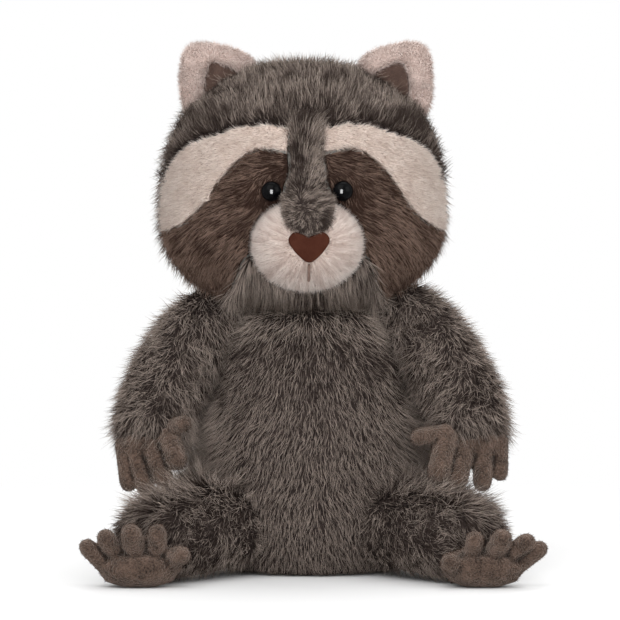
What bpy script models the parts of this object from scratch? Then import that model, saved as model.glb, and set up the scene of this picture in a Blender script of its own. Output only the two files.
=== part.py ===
# Plush raccoon that sits upright and faces -Y, in metres with +Z up.
# The middle of its seat is the origin. Left and right are the toy's own: its left side is +X.
import math

import bmesh
import bpy
from mathutils import Matrix, Vector

# Cloth and clearances
SEAM_GAP = 0.0003          # air between sewn neighbours
FABRIC = 0.004             # cloth with the root of its pile

# Body bag, a rounded form cut flat at the seat
BODY_HALF_WIDTH = 0.0535
BODY_FRONT = 0.050
BODY_BACK = 0.047
BODY_WIDEST_Z = 0.038
BODY_UP = 0.115
BODY_DOWN = 0.055
BODY_POWER = 2.3
SEAT_THICKNESS = 0.004
POUCH_HALF_WIDTH = 0.032
POUCH_HALF_DEPTH = 0.028
POUCH_HEIGHT = 0.015

# Head bag
HEAD_HALF_WIDTH = 0.0715
HEAD_FRONT = 0.060
HEAD_BACK = 0.054
HEAD_UP = 0.077
HEAD_DOWN = 0.046
HEAD_POWER = 2.35
HEAD_SINK = 0.021          # how far the head settles into the top of the body
HEAD_FORWARD = 0.004
HEAD_SIDEWAYS = -0.0045
HEAD_TURN = math.radians(2.5)
SIDE_SEAM = 0.010          # the face panels end this far in front of the head's middle

# Seams of the face as (across, up) shares of the head's half sizes, for the +X side
BROW_TOP = [(0.130, 0.602), (0.26, 0.624), (0.434, 0.608), (0.601, 0.551), (0.76, 0.49), (0.88, 0.38),
            (0.94, 0.26), (1.0, 0.10), (1.3, -0.20)]
BROW_BOTTOM = [(0.02, 0.466), (0.14, 0.464), (0.343, 0.471), (0.44, 0.418), (0.538, 0.326),
               (0.622, 0.226), (0.692, 0.12), (0.846, -0.037), (0.95, -0.14), (1.3, -0.36)]
STRIPE_SIDE = [(0.098, 0.68), (0.108, 0.50), (0.112, 0.36), (0.150, 0.22), (0.172, 0.125), (0.145, 0.02),
               (0.085, -0.035)]
STRIPE_END = -0.085
CHIN_SIDE = [(0.30, -0.30), (0.42, -0.355), (0.462, -0.563), (0.517, -0.778), (0.58, -1.2)]

# Snout
MUZZLE_DROP = 0.0095       # its middle below the head's widest line
MUZZLE_HALF_WIDTH = 0.028
MUZZLE_UP = 0.0225
MUZZLE_DOWN = 0.0233
MUZZLE_OUT = 0.022
MUZZLE_IN = 0.020
NOSE_OUTLINE = [(0.0, 0.38), (0.66, 0.50), (1.0, 0.26), (0.86, -0.02), (0.42, -0.38), (0.0, -0.56)]
NOSE_HALF_WIDTH = 0.0103
NOSE_HEIGHT = 0.0145
NOSE_DROP = -0.0005        # the nose's middle below the muzzle's middle
NOSE_THICKNESS = 0.003
STITCH_RADIUS = 0.0007
STITCH_LENGTH = 0.008

# Eyes with shank and lock washer
EYE_ACROSS = 0.247         # share of the head's half width
EYE_UP = 0.215             # share of the head's upper height
EYE_RADIUS = 0.005
EYE_BULGE = 0.0042
EYE_RIM_SHARE = 0.25       # share of the bulge that is straight wall
SHANK_RADIUS = 0.002
SHANK_LENGTH = 0.011
WASHER_RADIUS = 0.006
WASHER_THICKNESS = 0.0015
WASHER_SEAT = 0.0012       # a flat washer stands off the curved cloth by this much

# Ears
EAR_WIDTH = 0.037
EAR_HEIGHT = 0.037
EAR_THICKNESS = 0.016
EAR_ACROSS = {"right": 0.600, "left": 0.660}    # shares of the head's half width
EAR_UP = 0.862             # share of the head's upper height
EAR_FORWARD = 0.001
EAR_EDGE = 0.0045
EAR_POCKET = 0.0055
LINING_THICKNESS = 0.0025
EAR_OUTLINE = [(-0.40, -0.44), (-0.48, -0.06), (-0.47, 0.20), (-0.43, 0.42), (-0.30, 0.52), (-0.10, 0.53),
               (0.10, 0.49), (0.33, 0.42), (0.50, 0.28), (0.55, 0.0), (0.40, -0.46), (0.0, -0.60)]
LINING_OUTLINE = [(-0.17, -0.16), (-0.17, 0.05), (-0.12, 0.24), (-0.03, 0.31), (0.10, 0.26), (0.26, 0.18),
                  (0.34, 0.02), (0.30, -0.40), (0.0, -0.40)]

# Arms as steps from the shoulder: outward, forward, down, then the radius
SHOULDER_DROP = 0.021      # the shoulder joint below the top of the body
SHOULDER_SINK = 0.006
ARM_PATH = [(0.010, 0.002, -0.002, 0.0160), (0.026, 0.007, 0.012, 0.0195), (0.039, 0.013, 0.031, 0.0208),
            (0.0475, 0.022, 0.049, 0.0208), (0.0508, 0.0335, 0.0605, 0.0188)]
ARM_BLUNTNESS = 0.55

# Hands: each finger is a base, a tip and a radius, as steps from the middle of the palm
PALM_HALF_SIZE = (0.0155, 0.0065, 0.0100)
PALM_FROM_CUFF = (-0.0003, 0.0065, 0.0055)
RIGHT_FINGERS = {
    "thumb": ((-0.008, 0.002, 0.009), (-0.0155, 0.011, 0.0118), 0.0043),
    "index": ((-0.008, 0.004, 0.006), (-0.0124, 0.012, -0.0062), 0.0055),
    "middle": ((0.000, 0.003, -0.001), (-0.0062, 0.009, -0.0158), 0.0051),
    "ring": ((0.0085, 0.001, -0.003), (0.0028, 0.005, -0.0212), 0.0047),
    "little": ((0.0140, -0.002, 0.000), (0.0116, 0.001, -0.0187), 0.0046),
}
LEFT_FINGERS = {
    "thumb": ((-0.010, 0.003, 0.007), (-0.0255, 0.011, 0.0050), 0.0045),
    "index": ((-0.0115, 0.004, 0.006), (-0.0158, 0.013, -0.0120), 0.0060),
    "middle": ((-0.003, 0.003, -0.001), (-0.0062, 0.010, -0.0160), 0.0054),
    "ring": ((0.0065, 0.001, -0.003), (0.0060, 0.006, -0.0178), 0.0050),
    "little": ((0.0150, -0.002, 0.002), (0.0148, 0.001, -0.0138), 0.0042),
}

# Legs as steps from the hip: outward, forward, up, then the radius across
HIP_Z = 0.022
HIP_SINK = 0.022
LEG_PATH = [(0.000, 0.006, 0.002, 0.0255), (0.018, 0.032, 0.003, 0.0278), (0.040, 0.056, -0.001, 0.0258),
            (0.049, 0.068, -0.002, 0.0236)]
LEG_FLATNESS = 0.86
LEG_BLUNTNESS = 0.45

# Feet: the pad's half sizes, then each toe as a base, a tip and a radius
PAD_HALF_SIZE = (0.0215, 0.0125, 0.0100)
PAD_FROM_ANKLE = (0.006, 0.020)
RIGHT_TOES = {
    "big": ((-0.0155, 0.004, 0.0045), (-0.0206, 0.010, 0.0069), 0.0053),
    "second": ((-0.0088, 0.004, 0.007), (-0.0090, 0.009, 0.0175), 0.0052),
    "third": ((0.0015, 0.004, 0.007), (0.0038, 0.010, 0.0172), 0.0057),
    "fourth": ((0.0105, 0.003, 0.006), (0.0161, 0.007, 0.0151), 0.0050),
    "little": ((0.0165, 0.002, 0.001), (0.0253, 0.004, 0.0103), 0.0046),
}
LEFT_TOES = {
    "big": ((-0.0135, 0.004, 0.002), (-0.0164, 0.010, 0.0035), 0.0050),
    "second": ((-0.0055, 0.004, 0.006), (-0.0042, 0.009, 0.0145), 0.0047),
    "third": ((0.0050, 0.004, 0.006), (0.0092, 0.010, 0.0150), 0.0055),
    "fourth": ((0.0125, 0.003, 0.006), (0.0212, 0.007, 0.0132), 0.0048),
    "little": ((0.0170, 0.002, 0.001), (0.0277, 0.004, 0.0094), 0.0045),
}

# Tail, in rings from the body to the tip
TAIL_Z = 0.022
TAIL_PATH = [(-0.008, 0.000, 0.0120), (0.020, -0.003, 0.0165), (0.045, -0.002, 0.0170),
             (0.064, 0.005, 0.0140), (0.076, 0.014, 0.0090)]
TAIL_RINGS = 6

# Mesh density
FORM_DIVISIONS = 6
SNOUT_DIVISIONS = 5
NOSE_DIVISIONS = 6
SMALL_DIVISIONS = 3
LIMB_SIDES = 12
FINGER_SIDES = 8
ROUND_SIDES = 16
CAP_ANGLES = (65, 35)      # where a sleeve's rounded end has its rings
DOME_ANGLES = (62, 38, 16)
SEAM_STEPS = 3
FAR = 0.25                 # reach of the cutting blocks

# Colours from the photograph, as linear values
GREY_PILE = (0.155, 0.130, 0.115)
DARK_PILE = (0.035, 0.026, 0.022)
CREAM_PILE = (0.680, 0.600, 0.545)
BROWN_PILE = (0.105, 0.068, 0.052)
SUEDE = (0.155, 0.108, 0.084)
NOSE_SUEDE = (0.095, 0.030, 0.018)
LINING_SUEDE = (0.085, 0.055, 0.044)
FILLING = (0.86, 0.86, 0.84)
EYE_BLACK = (0.006, 0.006, 0.006)


def clear_scene():
    for item in list(bpy.data.objects):
        bpy.data.objects.remove(item, do_unlink=True)


def material(name, colour, roughness):
    made = bpy.data.materials.new(name)
    made.use_nodes = True
    shader = made.node_tree.nodes["Principled BSDF"]
    shader.inputs["Base Color"].default_value = (*colour, 1.0)
    shader.inputs["Roughness"].default_value = roughness
    shader.inputs["Metallic"].default_value = 0.0
    return made


def place(name, shape, parent=None):
    # Turns a bmesh into an object, smooth shaded, with its faces pointing out. Quads are split
    # the same way on every form, so that nested forms keep their distance.
    bmesh.ops.recalc_face_normals(shape, faces=shape.faces)
    bmesh.ops.triangulate(shape, faces=shape.faces, quad_method="FIXED")
    mesh = bpy.data.meshes.new(name)
    shape.to_mesh(mesh)
    shape.free()
    mesh.shade_smooth()
    item = bpy.data.objects.new(name, mesh)
    bpy.context.scene.collection.objects.link(item)
    item.parent = parent
    return item


def tool(item):
    # A shape that only cuts others.
    item.hide_render = True
    item.display_type = "WIRE"
    return item


def boolean(item, operation, others):
    for other in others:
        step = item.modifiers.new(f"{operation.lower()} {other.name}", "BOOLEAN")
        step.operation = operation
        step.solver = "EXACT"
        step.object = other
    return item


def finish(item, colour, roughness=0.95):
    item.data.materials.append(material(item.name, colour, roughness))
    return item


class Pillow:
    # A rounded box: its surface holds where the powers of the shares of each half size add up to one.

    def __init__(self, centre, side, front, back, up, down, power):
        self.centre = Vector(centre)
        self.side = side
        self.front = front
        self.back = back
        self.up = up
        self.down = down
        self.power = power

    def grown(self, by):
        sizes = [size + by for size in (self.side, self.front, self.back, self.up, self.down)]
        return Pillow(self.centre, *sizes, self.power)

    def reach(self, ray):
        depth = self.front if ray.y < 0 else self.back
        height = self.up if ray.z > 0 else self.down
        total = abs(ray.x / self.side) ** self.power
        total += abs(ray.y / depth) ** self.power
        total += abs(ray.z / height) ** self.power
        return total ** (-1.0 / self.power)

    def rest(self, first, first_size, second, second_size):
        # The share left for the third axis once two are taken.
        left = 1.0 - abs(first / first_size) ** self.power - abs(second / second_size) ** self.power
        return max(left, 0.0) ** (1.0 / self.power)

    def height_size(self, z):
        return self.up if z > self.centre.z else self.down

    def front_y(self, x, z):
        share = self.rest(x - self.centre.x, self.side, z - self.centre.z, self.height_size(z))
        return self.centre.y - self.front * share

    def back_y(self, z):
        return self.centre.y + self.back * self.rest(0.0, self.side, z - self.centre.z, self.height_size(z))

    def side_x(self, z):
        return self.centre.x + self.side * self.rest(0.0, self.front, z - self.centre.z, self.height_size(z))

    def build(self, name, divisions, parent=None):
        # A cube's grid, pushed out along rays from the middle until it meets the surface.
        shape = bmesh.new()
        bmesh.ops.create_cube(shape, size=2.0)
        bmesh.ops.subdivide_edges(shape, edges=shape.edges[:], cuts=divisions - 1, use_grid_fill=True)
        for vertex in shape.verts:
            even = Vector([math.tan(value * math.pi / 4) for value in vertex.co])
            ray = even.normalized()
            vertex.co = self.centre + ray * self.reach(ray)
        return place(name, shape, parent)


def block(name, low, high, parent=None):
    shape = bmesh.new()
    bmesh.ops.create_cube(shape, size=1.0)
    low = Vector(low)
    high = Vector(high)
    size = high - low
    for vertex in shape.verts:
        vertex.co = Vector([low[i] + (vertex.co[i] + 0.5) * size[i] for i in range(3)])
    return tool(place(name, shape, parent))


def smooth_value(values, t):
    # Catmull-Rom value at t, where whole numbers are the given values.
    index = min(int(t), len(values) - 2)
    part = t - index
    a = values[max(index - 1, 0)]
    b = values[index]
    c = values[index + 1]
    d = values[min(index + 2, len(values) - 1)]
    return 0.5 * (2 * b + (c - a) * part + (2 * a - 5 * b + 4 * c - d) * part ** 2
                  + (3 * b - a - 3 * c + d) * part ** 3)


def smooth_line(points, steps):
    columns = list(zip(*points))
    count = (len(points) - 1) * steps
    return [tuple(smooth_value(column, i / steps) for column in columns) for i in range(count + 1)]


def closed_line(points, steps):
    wrapped = [points[-1]] + list(points) + [points[0], points[1]]
    return smooth_line(wrapped, steps)[steps:-steps - 1]


def turns_left(outline):
    area = 0.0
    for (x0, z0), (x1, z1) in zip(outline, outline[1:] + outline[:1]):
        area += x0 * z1 - x1 * z0
    return area > 0


def offset_outline(outline, by):
    # Moves each point out along the mean normal of its two sides.
    if not turns_left(outline):
        outline = outline[::-1]
    moved = []
    for i, point in enumerate(outline):
        here = Vector(point)
        ahead = (Vector(outline[(i + 1) % len(outline)]) - here).normalized()
        behind = (here - Vector(outline[i - 1])).normalized()
        tangent = (ahead + behind).normalized()
        moved.append(tuple(here + Vector((tangent.y, -tangent.x)) * by))
    return moved


def prism(name, outline, near, far, parent=None):
    # The outline lies in the XZ plane and is extruded along Y.
    shape = bmesh.new()
    front = shape.faces.new([shape.verts.new((x, near, z)) for x, z in outline])
    grown = bmesh.ops.extrude_face_region(shape, geom=[front])
    for vertex in grown["geom"]:
        if isinstance(vertex, bmesh.types.BMVert):
            vertex.co.y = far
    return place(name, shape, parent)


def around(sides):
    return [2 * math.pi * k / sides for k in range(sides)]


def skin_rings(rings, start, end):
    # Closes a tube of rings with a point at each end.
    shape = bmesh.new()
    loops = [[shape.verts.new(point) for point in ring] for ring in rings]
    sides = len(loops[0])
    for lower, upper in zip(loops, loops[1:]):
        for i in range(sides):
            j = (i + 1) % sides
            shape.faces.new((lower[i], lower[j], upper[j], upper[i]))
    for loop, tip in ((loops[0], start), (loops[-1], end)):
        point = shape.verts.new(tip)
        for i in range(sides):
            shape.faces.new((loop[i], loop[(i + 1) % sides], point))
    return shape


def tube(name, path, sides, flatness=1.0, bluntness=1.0, grow=0.0, steps=3, parent=None):
    # A stuffed sleeve along a path of (x, y, z, radius), with rounded ends.
    line = smooth_line(path, steps)
    centres = [Vector(point[:3]) for point in line]
    radii = [point[3] + grow for point in line]
    first = (centres[1] - centres[0]).normalized()
    last = (centres[-1] - centres[-2]).normalized()
    caps = [math.radians(angle) for angle in CAP_ANGLES]
    start_caps = []
    end_caps = []
    for a in caps:
        start_caps.append((centres[0] - first * radii[0] * math.sin(a) * bluntness, radii[0] * math.cos(a)))
        end = centres[-1] + last * radii[-1] * math.sin(a) * bluntness
        end_caps.insert(0, (end, radii[-1] * math.cos(a)))
    stations = start_caps + list(zip(centres, radii)) + end_caps
    rings = []
    for i, (centre, radius) in enumerate(stations):
        before = stations[max(i - 1, 0)][0]
        after = stations[min(i + 1, len(stations) - 1)][0]
        along = (after - before).normalized()
        across = along.cross(Vector((0, 0, 1)))
        if across.length < 0.3:
            across = along.cross(Vector((0, 1, 0)))
        across.normalize()
        over = across.cross(along).normalized()
        wide = across * radius
        high = over * radius * flatness
        rings.append([centre + wide * math.cos(a) + high * math.sin(a) for a in around(sides)])
    start = centres[0] - first * radii[0] * bluntness
    end = centres[-1] + last * radii[-1] * bluntness
    return place(name, skin_rings(rings, start, end), parent)


def turned(name, profile, parent):
    # Spins (radius, depth) points about the local Z axis, from the top point to the bottom point.
    rings = []
    for radius, depth in profile[1:-1]:
        rings.append([(radius * math.cos(a), radius * math.sin(a), depth) for a in around(ROUND_SIDES)])
    return place(name, skin_rings(rings, (0, 0, profile[0][1]), (0, 0, profile[-1][1])), parent)


def body_form():
    centre = (0, 0, BODY_WIDEST_Z)
    return Pillow(centre, BODY_HALF_WIDTH, BODY_FRONT, BODY_BACK, BODY_UP, BODY_DOWN, BODY_POWER)


def head_form():
    # Its widest line; the head's empty carries the sideways place and the turn.
    height = BODY_WIDEST_Z + BODY_UP - HEAD_SINK + HEAD_DOWN
    return Pillow((0, 0, height), HEAD_HALF_WIDTH, HEAD_FRONT, HEAD_BACK, HEAD_UP, HEAD_DOWN, HEAD_POWER)


def muzzle_form(head):
    z = head.centre.z - MUZZLE_DROP
    centre = (0, head.front_y(0, z), z)
    return Pillow(centre, MUZZLE_HALF_WIDTH, MUZZLE_OUT, MUZZLE_IN, MUZZLE_UP, MUZZLE_DOWN, 2.0)


def on_head(head, points):
    # From shares of the head's half sizes to its own metres.
    placed = []
    for across, up in points:
        placed.append((across * head.side, head.centre.z + up * (head.up if up > 0 else head.down)))
    return placed


def mirrored(outline, side):
    return [(x * side, z) for x, z in outline]


def face_outlines(head):
    # Each face panel's region in the front view; brow and cheek are for the +X side.
    outside = BROW_TOP[-1][0]
    brow_top = smooth_line(BROW_TOP, SEAM_STEPS)
    brow_bottom = smooth_line(BROW_BOTTOM, SEAM_STEPS)
    chin_side = smooth_line(CHIN_SIDE, SEAM_STEPS)
    stripe_side = smooth_line(STRIPE_SIDE, SEAM_STEPS)
    lowest = CHIN_SIDE[-1][1] * 1.1
    below = [(outside, lowest), (CHIN_SIDE[-1][0], lowest)]
    under_stripe = [(CHIN_SIDE[0][0] * 0.5, CHIN_SIDE[0][1]), (BROW_BOTTOM[0][0], STRIPE_END * 2)]
    stripe_top = STRIPE_SIDE[0]
    regions = {
        "brow": [(BROW_BOTTOM[0][0], BROW_TOP[0][1])] + brow_top + brow_bottom[::-1],
        "cheek": brow_bottom + below + chin_side[::-1] + under_stripe,
        "stripe": stripe_side + [(0, STRIPE_END)] + mirrored(stripe_side[::-1], -1),
        "chin": chin_side + mirrored(chin_side[::-1], -1),
        "crown": [stripe_top] + brow_top + [(outside, outside), (-outside, outside)]
        + mirrored(brow_top[::-1] + [stripe_top], -1),
    }
    return {name: on_head(head, region) for name, region in regions.items()}


def empty(name, location, turn):
    made = bpy.data.objects.new(name, None)
    made.location = location
    made.rotation_euler = (0, 0, turn)
    bpy.context.scene.collection.objects.link(made)
    return made


def head_shell(name, head, cutters):
    item = head.build(name, FORM_DIVISIONS, cutters["empty"])
    return boolean(item, "DIFFERENCE", [cutters["inside"]])


def head_tools(head, muzzle, hub):
    # The shapes that cut the head's panels from its shell.
    front = -SIDE_SEAM - SEAM_GAP / 2
    outlines = face_outlines(head)
    tools = {"empty": hub}
    tools["inside"] = tool(head.grown(-FABRIC).build("head inside", FORM_DIVISIONS, hub))
    tools["outside"] = tool(head.grown(SEAM_GAP).build("head outside", FORM_DIVISIONS, hub))
    tools["muzzle"] = tool(muzzle.grown(SEAM_GAP).build("muzzle outside", SNOUT_DIVISIONS, hub))
    tools["back"] = block("back half", (-FAR, front + SEAM_GAP, 0), (FAR, FAR, 2 * FAR), hub)
    for side, word in ((-1, "right"), (1, "left")):
        for part, grow in (("brow", 0.0), ("cheek", -SEAM_GAP)):
            shape = offset_outline(mirrored(outlines[part], side), grow)
            tools[f"{part}_{word}"] = tool(prism(f"{part} {word} region", shape, -FAR, front, hub))
    for part, name, grow in (("stripe", "stripe", 0.0), ("stripe", "stripe_room", SEAM_GAP),
                             ("chin", "chin", 0.0), ("crown", "crown", -SEAM_GAP)):
        tools[name] = tool(prism(f"{name} region", offset_outline(outlines[part], grow), -FAR, front, hub))
    return tools


def eye_frame(head, side):
    # The point on the cloth and the direction that the eye looks in.
    x = side * EYE_ACROSS * head.side
    z = head.centre.z + EYE_UP * head.up
    step = 0.002
    point = Vector((x, head.front_y(x, z), z))
    slope_x = (head.front_y(x + step, z) - head.front_y(x - step, z)) / (2 * step)
    slope_z = (head.front_y(x, z + step) - head.front_y(x, z - step)) / (2 * step)
    out = Vector((slope_x, -1.0, slope_z)).normalized()
    return Matrix.Translation(point) @ out.to_track_quat("Z", "Y").to_matrix().to_4x4()


def make_eye(head, side, word, hub):
    frame = eye_frame(head, side)
    rim = SEAM_GAP + EYE_RADIUS ** 2 / (2 * HEAD_FRONT)
    wall = EYE_BULGE * EYE_RIM_SHARE
    dome = [(0.0, rim + EYE_BULGE)]
    for angle in DOME_ANGLES:
        a = math.radians(angle)
        dome.append((EYE_RADIUS * math.cos(a), rim + wall + (EYE_BULGE - wall) * math.sin(a)))
    dome += [(EYE_RADIUS, rim + wall * 0.5), (EYE_RADIUS - wall * 0.2, rim), (SHANK_RADIUS, rim)]
    dome += [(SHANK_RADIUS, -SHANK_LENGTH), (0.0, -SHANK_LENGTH)]
    eye = turned(f"eye_{word}", dome, hub)
    eye.matrix_local = frame
    top = -FABRIC - WASHER_SEAT
    bottom = top - WASHER_THICKNESS
    inner = SHANK_RADIUS + SEAM_GAP
    disc = [(0, top), (WASHER_RADIUS, top), (WASHER_RADIUS, bottom), (0, bottom)]
    washer = turned(f"eye_washer_{word}", disc, hub)
    washer.matrix_local = frame
    bore_depth = -SHANK_LENGTH - SEAM_GAP
    bore_line = [(0, EYE_RADIUS), (inner, EYE_RADIUS), (inner, bore_depth), (0, bore_depth)]
    bore = tool(turned(f"eye bore {word}", bore_line, hub))
    bore.matrix_local = frame
    room = WASHER_RADIUS + SEAM_GAP
    pocket_line = [(0, FABRIC), (room, FABRIC), (room, bottom - SEAM_GAP), (inner, bottom - SEAM_GAP),
                   (inner, bore_depth), (0, bore_depth)]
    pocket = tool(turned(f"washer pocket {word}", pocket_line, hub))
    pocket.matrix_local = frame
    finish(eye, EYE_BLACK, 0.06)
    finish(boolean(washer, "DIFFERENCE", [bore]), FILLING, 0.5)
    return bore, pocket


def make_face(head, tools, bores):
    panels = [("chin", GREY_PILE, [tools["muzzle"]]), ("crown", GREY_PILE, [])]
    for word in ("right", "left"):
        panels.append((f"brow_{word}", CREAM_PILE, [tools["stripe_room"]]))
        panels.append((f"cheek_{word}", BROWN_PILE, [tools["stripe_room"], tools["muzzle"], bores[word]]))
    for name, colour, openings in panels:
        panel = head_shell(name, head, tools)
        boolean(panel, "INTERSECT", [tools[name]])
        finish(boolean(panel, "DIFFERENCE", openings), colour)
    back = head_shell("head_back", head, tools)
    finish(boolean(back, "INTERSECT", [tools["back"]]), GREY_PILE)


def make_snout(head, muzzle, tools, hub):
    over_muzzle = tool(muzzle.grown(FABRIC).build("stripe over muzzle", SNOUT_DIVISIONS, hub))
    stripe = head.build("snout_stripe", FORM_DIVISIONS, hub)
    boolean(stripe, "UNION", [over_muzzle])
    boolean(stripe, "DIFFERENCE", [tools["inside"], tools["muzzle"]])
    finish(boolean(stripe, "INTERSECT", [tools["stripe"]]), GREY_PILE)
    snout = muzzle.build("muzzle", SNOUT_DIVISIONS, hub)
    finish(boolean(snout, "DIFFERENCE", [tools["inside"]]), CREAM_PILE)
    make_nose(muzzle, tools, hub)
    make_stitch(muzzle, hub)


def make_nose(muzzle, tools, hub):
    z = muzzle.centre.z - NOSE_DROP
    around = NOSE_OUTLINE + mirrored(NOSE_OUTLINE[-2:0:-1], -1)
    outline = [(x * NOSE_HALF_WIDTH, z + y * NOSE_HEIGHT) for x, y in closed_line(around, 3)]
    region = tool(prism("nose region", outline, -FAR, muzzle.centre.y, hub))
    nose = muzzle.grown(NOSE_THICKNESS).build("nose", NOSE_DIVISIONS, hub)
    boolean(nose, "INTERSECT", [region])
    finish(boolean(nose, "DIFFERENCE", [tools["muzzle"], tools["stripe_room"]]), NOSE_SUEDE, 0.75)


def make_stitch(muzzle, hub):
    # A thread laid down the middle of the muzzle from below the nose.
    line = muzzle.grown(SEAM_GAP + STITCH_RADIUS * 1.4)
    nose_bottom = muzzle.centre.z - NOSE_DROP + NOSE_OUTLINE[-1][1] * NOSE_HEIGHT
    top = nose_bottom - STITCH_RADIUS - 2 * SEAM_GAP
    points = []
    for i in range(5):
        z = top - STITCH_LENGTH * i / 4
        points.append((0.0, line.front_y(0.0, z), z, STITCH_RADIUS))
    finish(tube("mouth_stitch", points, 8, steps=2, parent=hub), BROWN_PILE)


def make_ears(head, tools, hub):
    for side, word in ((-1, "right"), (1, "left")):
        middle_x = side * EAR_ACROSS[word] * head.side
        middle_z = head.centre.z + EAR_UP * head.up
        near = -EAR_FORWARD - EAR_THICKNESS / 2
        far = near + EAR_THICKNESS

        def at_ear(points, grow=0.0):
            line = closed_line([(-x * side, z) for x, z in points], 3)
            line = [(middle_x + x * EAR_WIDTH, middle_z + z * EAR_HEIGHT) for x, z in line]
            return offset_outline(line, grow)

        ear = prism(f"ear_{word}", at_ear(EAR_OUTLINE), near, far, hub)
        edge = ear.modifiers.new("rounded edge", "BEVEL")
        edge.width = EAR_EDGE
        edge.segments = 2
        edge.limit_method = "ANGLE"
        edge.angle_limit = math.radians(60)
        pocket_line = at_ear(LINING_OUTLINE)
        pocket = tool(prism(f"ear pocket {word}", pocket_line, near - EAR_EDGE, near + EAR_POCKET, hub))
        finish(boolean(ear, "DIFFERENCE", [pocket, tools["outside"]]), CREAM_PILE)
        lining_far = near + EAR_POCKET - SEAM_GAP
        lining_line = at_ear(LINING_OUTLINE, -SEAM_GAP)
        lining = prism(f"ear_lining_{word}", lining_line, lining_far - LINING_THICKNESS, lining_far, hub)
        finish(boolean(lining, "DIFFERENCE", [tools["outside"]]), LINING_SUEDE)


def make_head(head, tools, hub):
    bores = {}
    pockets = []
    for side, word in ((-1, "right"), (1, "left")):
        bores[word], pocket = make_eye(head, side, word, hub)
        pockets.append(pocket)
    filling = head.grown(-FABRIC - SEAM_GAP).build("head_filling", FORM_DIVISIONS, hub)
    finish(boolean(filling, "DIFFERENCE", pockets), FILLING)
    make_face(head, tools, bores)
    make_ears(head, tools, hub)


def make_body(body, head_room):
    seat_top = SEAT_THICKNESS
    above = block("above seat", (-FAR, -FAR, seat_top + SEAM_GAP), (FAR, FAR, 2 * FAR))
    seat_slab = block("seat slab", (-FAR, -FAR, 0), (FAR, FAR, seat_top))
    inside = tool(body.grown(-FABRIC).build("body inside", FORM_DIVISIONS))
    half_gap = SEAM_GAP / 2
    regions = {
        "body_front": block("front region", (-FAR, -FAR, 0), (FAR, -half_gap, 2 * FAR)),
        "body_back_left": block("back left region", (half_gap, half_gap, 0), (FAR, FAR, 2 * FAR)),
        "body_back_right": block("back right region", (-FAR, half_gap, 0), (-half_gap, FAR, 2 * FAR)),
    }
    for name, region in regions.items():
        panel = body.build(name, FORM_DIVISIONS)
        boolean(panel, "DIFFERENCE", [inside, head_room])
        finish(boolean(panel, "INTERSECT", [above, region]), GREY_PILE)
    seat = body.build("seat_panel", FORM_DIVISIONS)
    finish(boolean(seat, "INTERSECT", [seat_slab]), GREY_PILE)

    middle = seat_top + SEAM_GAP + POUCH_HEIGHT * 0.4
    pouch_form = Pillow((0, 0, middle), POUCH_HALF_WIDTH, POUCH_HALF_DEPTH, POUCH_HALF_DEPTH,
                        POUCH_HEIGHT * 0.6, POUCH_HEIGHT, 2.3)
    pouch = pouch_form.build("bean_pouch", SMALL_DIVISIONS + 1)
    finish(boolean(pouch, "INTERSECT", [above]), FILLING)
    pouch_room = tool(pouch_form.grown(SEAM_GAP).build("pouch room", SMALL_DIVISIONS + 1))
    filling = body.grown(-FABRIC - SEAM_GAP).build("body_filling", FORM_DIVISIONS)
    boolean(filling, "INTERSECT", [above])
    finish(boolean(filling, "DIFFERENCE", [head_room, pouch_room]), FILLING)


def steps_from(start, path, side):
    # Outward, forward and upward steps from a start point, to one side of the toy.
    x, y, z = start
    return [(side * (x + out), y - forward, z + up, *rest) for out, forward, up, *rest in path]


def hand_with_fingers(name, centre, side, fingers, divisions):
    palm = Pillow(centre, PALM_HALF_SIZE[0], PALM_HALF_SIZE[1], PALM_HALF_SIZE[1], PALM_HALF_SIZE[2],
                  PALM_HALF_SIZE[2], 2.3)
    item = palm.build(name, divisions)
    return add_digits(item, centre, side, fingers)


def add_digits(item, centre, side, digits):
    for word, (base, tip, radius) in digits.items():
        path = []
        for out, forward, up in (base, tip):
            path.append((centre[0] + side * out, centre[1] - forward, centre[2] + up, radius))
        digit = tool(tube(f"{item.name} {word}", path, FINGER_SIDES, steps=1))
        boolean(item, "UNION", [digit])
    return item


def make_arms(body, body_room, head_room):
    height = BODY_WIDEST_Z + BODY_UP - SHOULDER_DROP
    shoulder = (body.side_x(height) - SHOULDER_SINK, 0.0, height)
    path = [(out, forward, -down, radius) for out, forward, down, radius in ARM_PATH]
    for side, word, fingers in ((-1, "right", RIGHT_FINGERS), (1, "left", LEFT_FINGERS)):
        line = steps_from(shoulder, path, side)
        arm = tube(f"arm_{word}", line, LIMB_SIDES, bluntness=ARM_BLUNTNESS)
        finish(boolean(arm, "DIFFERENCE", [body_room, head_room]), GREY_PILE)
        room = tool(tube(f"arm room {word}", line, LIMB_SIDES, bluntness=ARM_BLUNTNESS, grow=SEAM_GAP))
        cuff = line[-1]
        out, forward, down = PALM_FROM_CUFF
        centre = (cuff[0] + side * out, cuff[1] - forward, cuff[2] - down)
        hand = hand_with_fingers(f"hand_{word}", centre, side, fingers, SMALL_DIVISIONS)
        finish(boolean(hand, "DIFFERENCE", [room]), SUEDE)


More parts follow.
